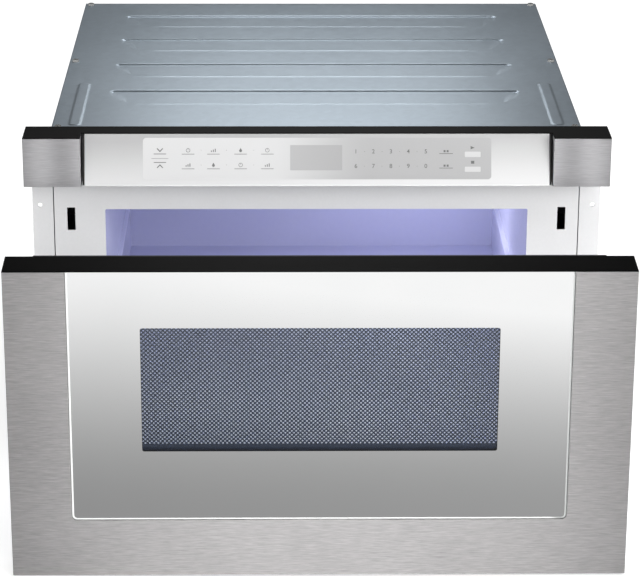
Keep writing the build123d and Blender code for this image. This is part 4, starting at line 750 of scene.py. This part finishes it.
field_ink = screen_print("touch_field_ink", "#C2C2C2", "#9E9E9E")
printed("touch_field", [rounded(-180.2, 180.3, 7.2, 50.2, 3.5)], print_lift, field_ink)
window_ink = screen_print("display_window_ink", "#A6A6A6", "#979797")
printed("display_window", [rounded(-28, 25.9, 16.6, 42.7, 0.6)], 1.5 * print_lift, window_ink)
mark_ink = screen_print("grey_mark_ink", "#666666", "#5A5A5A", 0.4)
white_ink = screen_print("white_mark_ink", "#AEAEAE", "#B6B6B6", 0.4)

# ---- Key marks
# Plain digits for the number keys and simple signs for the others, fired on in grey ink.
# Places and sizes are in millimetres over the leaning glass, from its middle and its foot.
digit_height, digit_share, digit_bold = 4.4, 0.72, 0.05
digit_first, digit_step = 40.0, 18.1
digit_row, row_step, digit_rows, digits_in_row = 35.9, 15.1, 2, 5
mark_lift, sign_lift = 2.2 * print_lift, 2.4 * print_lift
digits = bpy.data.curves.new("digit_marks", "FONT")
digits.size = digit_height * mm / digit_share
digits.extrude = print_lift / 2
digits.offset = digit_bold * mm
digits.align_x, digits.align_y = "CENTER", "CENTER"
digit_meshes = bmesh.new()
for key in range(digit_rows * digits_in_row):
    x = digit_first + digit_step * (key % digits_in_row)
    y = digit_row - row_step * (key // digits_in_row)
    digits.body = str((key + 1) % 10)
    writer = bpy.data.objects.new("writer", digits)
    scene.collection.objects.link(writer)
    bpy.context.view_layer.update()
    written = bpy.data.meshes.new_from_object(writer.evaluated_get(bpy.context.evaluated_depsgraph_get()))
    upright = Matrix.Translation((x * mm, -mark_lift, y * mm)) @ Matrix.Rotation(pi / 2, 4, "X")
    written.transform(leaning @ upright)
    digit_meshes.from_mesh(written)
    bpy.data.objects.remove(writer)
    bpy.data.meshes.remove(written)
bmesh.ops.remove_doubles(digit_meshes, verts=digit_meshes.verts, dist=1e-7)
digit_mesh = bpy.data.meshes.new("digit_marks")
digit_meshes.to_mesh(digit_mesh)
digit_meshes.free()
digit_piece = show("digit_marks", digit_mesh, mark_ink)
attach(digit_piece, "cabinet")


def bar(x0, x1, y0, y1):
    """A plain printed bar."""
    return [(x0, y0), (x1, y0), (x1, y1), (x0, y1)]


def dot(x, y):
    """A small printed dot."""
    return rounded(x - 0.3, x + 0.3, y - 0.3, y + 0.3, 0.25, 2)


def clock(x, y):
    """A ring with one hand."""
    return [ring_shape(x, y, 2.2, 0.5), bar(x - 0.2, x + 0.2, y, y + 1.5)]


def steps_up(x, y):
    """Three bars, each taller than the last."""
    return [bar(x - 2.6 + i * 2.0, x - 1.6 + i * 2.0, y - 1.8, y - 0.2 + i * 0.9) for i in range(3)]


def droplet(x, y):
    """A drop with a pointed top."""
    side = [(-1.6, -0.4), (-1.1, -1.6), (0, -2.1), (1.1, -1.6), (1.6, -0.4)]
    return [[(x, y + 2.4)] + [(x + dx, y + dy) for dx, dy in side]]


down_arrow = [(-166, 39), (-162.6, 35.4), (-159.2, 39), (-160, 39.7), (-162.6, 37), (-165.2, 39.7)]
up_arrow = [(-166, 19.5), (-165.2, 18.8), (-162.6, 21.5), (-160, 18.8), (-159.2, 19.5), (-162.6, 23.1)]
start_arrow = [(158.8, 38.2), (162.9, 39.9), (158.8, 41.6)]
sign_rows, sign_columns = (37.4, 22.2), (-133.5, -107.3, -79.2, -51.6)
pair_x, pair_rows = 133.4, (35.8, 20.8)
signs = [bar(-171.4, -153.9, 28.7, 29.1), down_arrow, up_arrow]
signs += [bar(-169, -156.2, 33.2, 34.0), bar(-169, -156.2, 24.4, 25.2)]
for row, y in enumerate(sign_rows):
    for column, x in enumerate(sign_columns):
        signs += (clock, steps_up, droplet)[(row + column) % 3](x, y)
        signs.append(bar(x - 6.5, x + 6.5, y - 4.3, y - 3.7))
        if x != sign_columns[-1]:
            signs.append(dot(x + 13.5, y))
for y in pair_rows:
    signs.append(bar(pair_x - 7, pair_x + 7, y - 2.3, y - 1.7))
    signs += [bar(pair_x + x, pair_x + x + 2, y - 0.6, y + 1.6) for x in (-2.6, 0.6)]
signs += [start_arrow, bar(159.2, 162.6, 23.3, 26.3)]
printed("key_signs", signs, sign_lift, mark_ink)
fields = [rounded(152.8, 169.2, low, high, 0.8) for low, high in ((30.2, 35.8), (14.9, 20.2))]
printed("key_fields", fields, mark_lift, white_ink)
between = [digit_first + digit_step * i + 9.0 for i in range(digits_in_row - 1)]
dots = [dot(x, digit_row - row_step * row) for x in between for row in range(digit_rows)]
printed("key_dots", dots, mark_lift, mark_ink)

# ---- Display module
# A black moulded box behind the glass. Its face is a smoked acrylic filter, smooth and glossy
# with a faint haze.
filter_haze = 12 * mm
smoked, tree, shader = start("smoked_filter", "#15161A", 0.0, 0.12)
place = add(tree, "TexCoord")["Object"]
haze = add(tree, "TexNoise", {"Vector": place, "Scale": 1 / filter_haze, "Detail": 3.0})[0]
dress(tree, shader, haze, ("#101115", "#1D1F24"), (0.08, 0.2), print_relief)
coat(smoked, "display_module")

# ---- Drawer front
# One folded stainless skin, U-shaped round the glass, brushed along its width. Strokes are
# short and a little wavy, and the low soft box makes the bottom rail the lightest part.
front_steel = brushed("brushed_stainless_front", "#9B999A", "#D2D0D0", 0.35)
front_piece = eased("door_frame", "door_skin", steel_round, (front_steel,))

# ---- Door glass
# A 5 mm pane with ground edges and a silver mirror coat, left clear over the window. The coat mirrors the
# studio floor, whose painted shade makes it pale far off and grey close by, and is drawn on the front face.
glass_low, glass_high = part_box("door_glass")
grind_width, grind_depth = 1.9 * mm, 0.8 * mm
corner_radius, corner_shrink, ring_steps = 4.7 * mm, 0.6, 6
window_half, window_low, window_high = 173 * mm, 134.8 * mm, 263.3 * mm
window_corner, window_steps = 2 * mm, 3
flare_side, flare_foot = 0.4 * mm, 2.6 * mm  # keeps the rear edge of the clear part out of sight
coat_haze, grit_size, smear_size = 70 * mm, 0.5 * mm, 45 * mm
coat_relief = 0.0005 * mm
painted_shade_start, painted_shade_end = 225 * mm, 235 * mm  # the right edge is painted darker, a painted shade
mirror_face, ground_face, clear_face = 0, 1, 2


def pane_outline(inset):
    """The pane's outline, square at the top and rounded at the bottom."""
    x, low, radius = glass_high.x - inset, glass_low.z + inset, corner_radius - inset * corner_shrink
    left = [(-x + radius - radius * cos(a), low + radius - radius * sin(a))
            for a in (pi / 2 * i / ring_steps for i in range(ring_steps + 1))]
    mirrored = [(-px, pz) for px, pz in reversed(left)]
    return [(-x, glass_high.z)] + left + mirrored + [(x, glass_high.z)]


def loop(shape, outline, y):
    """Vertices of an outline at a depth."""
    return [shape.verts.new((x, y, z)) for x, z in outline]


def band(shape, first, second, material):
    """The faces between two loops of the same length."""
    for i in range(len(first)):
        j = (i + 1) % len(first)
        shape.faces.new((first[i], first[j], second[j], second[i])).material_index = material


glass = bmesh.new()
window = rounded(-window_half, window_half, window_low, window_high, window_corner, window_steps)
back_half = window_half + flare_side
back_window = rounded(-back_half, back_half, window_low - flare_foot, window_high, window_corner,
                      window_steps)
front_face, front_edge = glass_low.y, glass_low.y + grind_depth
outer_front = loop(glass, pane_outline(grind_width), front_face)
outer_edge = loop(glass, pane_outline(0.0), front_edge)
outer_back = loop(glass, pane_outline(0.0), glass_high.y)
inner_front = loop(glass, window, front_face)
inner_back = loop(glass, back_window, glass_high.y)
for outer, inner in ((outer_front, inner_front), (outer_back, inner_back)):
    both = outer + inner
    for triangle in tessellate_polygon([[v.co for v in outer], [v.co for v in inner]]):
        glass.faces.new([both[i] for i in triangle]).material_index = mirror_face
    glass.faces.new(inner).material_index = clear_face
band(glass, outer_front, outer_edge, ground_face)
band(glass, outer_edge, outer_back, ground_face)
bmesh.ops.recalc_face_normals(glass, faces=glass.faces)
glass_mesh = bpy.data.meshes.new("door_pane")
glass.to_mesh(glass_mesh)
glass.free()

mirror, tree, shader = start("silver_mirror_coat", "#F5F6F6", 1.0, 0.03)
place = add(tree, "TexCoord")["Object"]
haze = add(tree, "TexNoise", {"Vector": place, "Scale": 1 / coat_haze, "Detail": 3.0})[0]
dress(tree, shader, haze, ("#F3F4F4", "#F8F8F8"), (0.02, 0.06), coat_relief)
ground_edge, tree, shader = start("ground_glass_edge", "#EEF1F0", 0.0, 0.35)
place = add(tree, "TexCoord")["Object"]
grit = add(tree, "TexNoise", {"Vector": place, "Scale": 1 / grit_size, "Detail": 2.0})[0]
out = add(tree, "SeparateXYZ", {0: place})["X"]
# Painted shade: the ground edge darkens towards the pane's right side.
edge_painted_shade = add(tree, "MapRange", {"Value": out, "From Min": painted_shade_start, "From Max": painted_shade_end,
                                  "To Min": 1.0, "To Max": 0.0})[0]
dress(tree, shader, blended(tree, edge_painted_shade, grit, 0.15), ("#A2A5A4", "#F6F8F7"), (0.28, 0.42), 0.01 * mm)
clear_glass, tree, shader = start("clear_window_glass", "#FFFFFF", 0.0, 0.03)
tree.nodes.remove(shader)
place = add(tree, "TexCoord")["Object"]
smear = add(tree, "TexNoise", {"Vector": place, "Scale": 1 / smear_size, "Detail": 3.0})[0]
tint = add(tree, "Mix", {0: smear, 6: linear("#DDE3EC"), 7: linear("#E6EAF0")}, data_type="RGBA")[2]
through = add(tree, "BsdfTransparent", {"Color": tint})[0]
sheen = add(tree, "BsdfGlossy", {"Color": (1, 1, 1, 1), "Roughness": 0.03})[0]
share = add(tree, "Fresnel", {"IOR": 1.5})[0]
pane_look = add(tree, "MixShader", {0: share, 1: through, 2: sheen})[0]
tree.links.new(pane_look, tree.nodes["Material Output"].inputs["Surface"])
door_pane = show("door_pane", glass_mesh, mirror, ground_edge, clear_glass)
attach(door_pane, "drawer")
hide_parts("door_glass")

# ---- Window screen
# Steel sheet punched with staggered holes small enough to hold the microwaves in, enamelled
# dark blue-grey. The lit oven shows pale through each hole.
screen_low, screen_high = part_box("window_screen")
hole_pitch, hole_radius = 4.2 * mm, 1.05 * mm  # drawn coarser than real, 2.4 mm up a column
top_row, foot_row, last_hole = 260.4 * mm, 139.3 * mm, 172.4 * mm
half_cell, screen_y = hole_pitch / 2, screen_low.y
enamel_drift = 50 * mm
screen = bmesh.new()
corner_of = {}


def lattice(i, j):
    """The corner of a cell, by its place on the half-pitch lattice."""
    if (i, j) not in corner_of:
        corner_of[i, j] = screen.verts.new((i * half_cell, screen_y, top_row + j * half_cell))
    return corner_of[i, j]


across = int(screen_high.x / half_cell) + 2
above = int((screen_high.z - top_row) / half_cell) + 2
below = int((top_row - screen_low.z) / half_cell) + 2
for j in range(-below, above + 1):
    for i in range(-across, across + 1):
        if (i + j) % 2:
            continue
        x, z = i * half_cell, top_row + j * half_cell
        corners = [lattice(i + 1, j), lattice(i, j + 1), lattice(i - 1, j), lattice(i, j - 1)]
        if abs(x) > last_hole or j > 0 or z < foot_row:
            screen.faces.new(corners)
            continue
        rim = [screen.verts.new((x + hole_radius * cos(a), screen_y, z + hole_radius * sin(a)))
               for a in (pi / 4 * k for k in range(8))]
        for k in range(4):
            near, middle, far = rim[2 * k], rim[2 * k + 1], rim[(2 * k + 2) % 8]
            screen.faces.new((corners[k], corners[(k + 1) % 4], far, middle, near))
for rim_point, outwards in ((screen_low, (-1, 0, 0)), (screen_high, (1, 0, 0)),
                            (screen_low, (0, 0, -1)), (screen_high, (0, 0, 1))):
    everything = list(screen.verts) + list(screen.edges) + list(screen.faces)
    bmesh.ops.bisect_plane(screen, geom=everything, plane_co=rim_point, plane_no=outwards, clear_outer=True)
bmesh.ops.recalc_face_normals(screen, faces=screen.faces)
screen_mesh = bpy.data.meshes.new("punched_screen")
screen.to_mesh(screen_mesh)
screen.free()
screen_enamel, tree, shader = start("dark_enamelled_screen", "#3E4656", 0.0, 0.4)
place = add(tree, "TexCoord")["Object"]
drift = add(tree, "TexNoise", {"Vector": place, "Scale": 1 / enamel_drift, "Detail": 2.0})[0]
dress(tree, shader, drift, ("#2F3644", "#3E4656"), (0.34, 0.46), 0.01 * mm)
punched = show("punched_screen", screen_mesh, screen_enamel)
thick = punched.modifiers.new("thickness", "SOLIDIFY")
thick.thickness = screen_high.y - screen_low.y
thick.offset = -1.0
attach(punched, "drawer")
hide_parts("window_screen")

# ---- Choke cover
# A black moulded frame that closes the choke channel round the drawer's back face, satin and
# finely textured.
coat(black_plastic, "choke_cover")

# ---- Oven floor plate
# A plate of glass-ceramic, cast and polished, that lies in the tub. It is milky white and
# glossy, with the faintest speckle.
crystal_size, plate_edge = 1.8 * mm, 0.6 * mm
ceramic, tree, shader = start("milky_glass_ceramic", "#E9E9E6", 0.0, 0.12)
place = add(tree, "TexCoord")["Object"]
speck = add(tree, "TexVoronoi", {"Vector": place, "Scale": 1 / crystal_size})["Distance"]
dress(tree, shader, speck, ("#E2E2DF", "#EFEFEC"), (0.08, 0.16), print_relief)
plate = eased("ceramic_shelf", "ceramic_plate", plate_edge, (ceramic,))
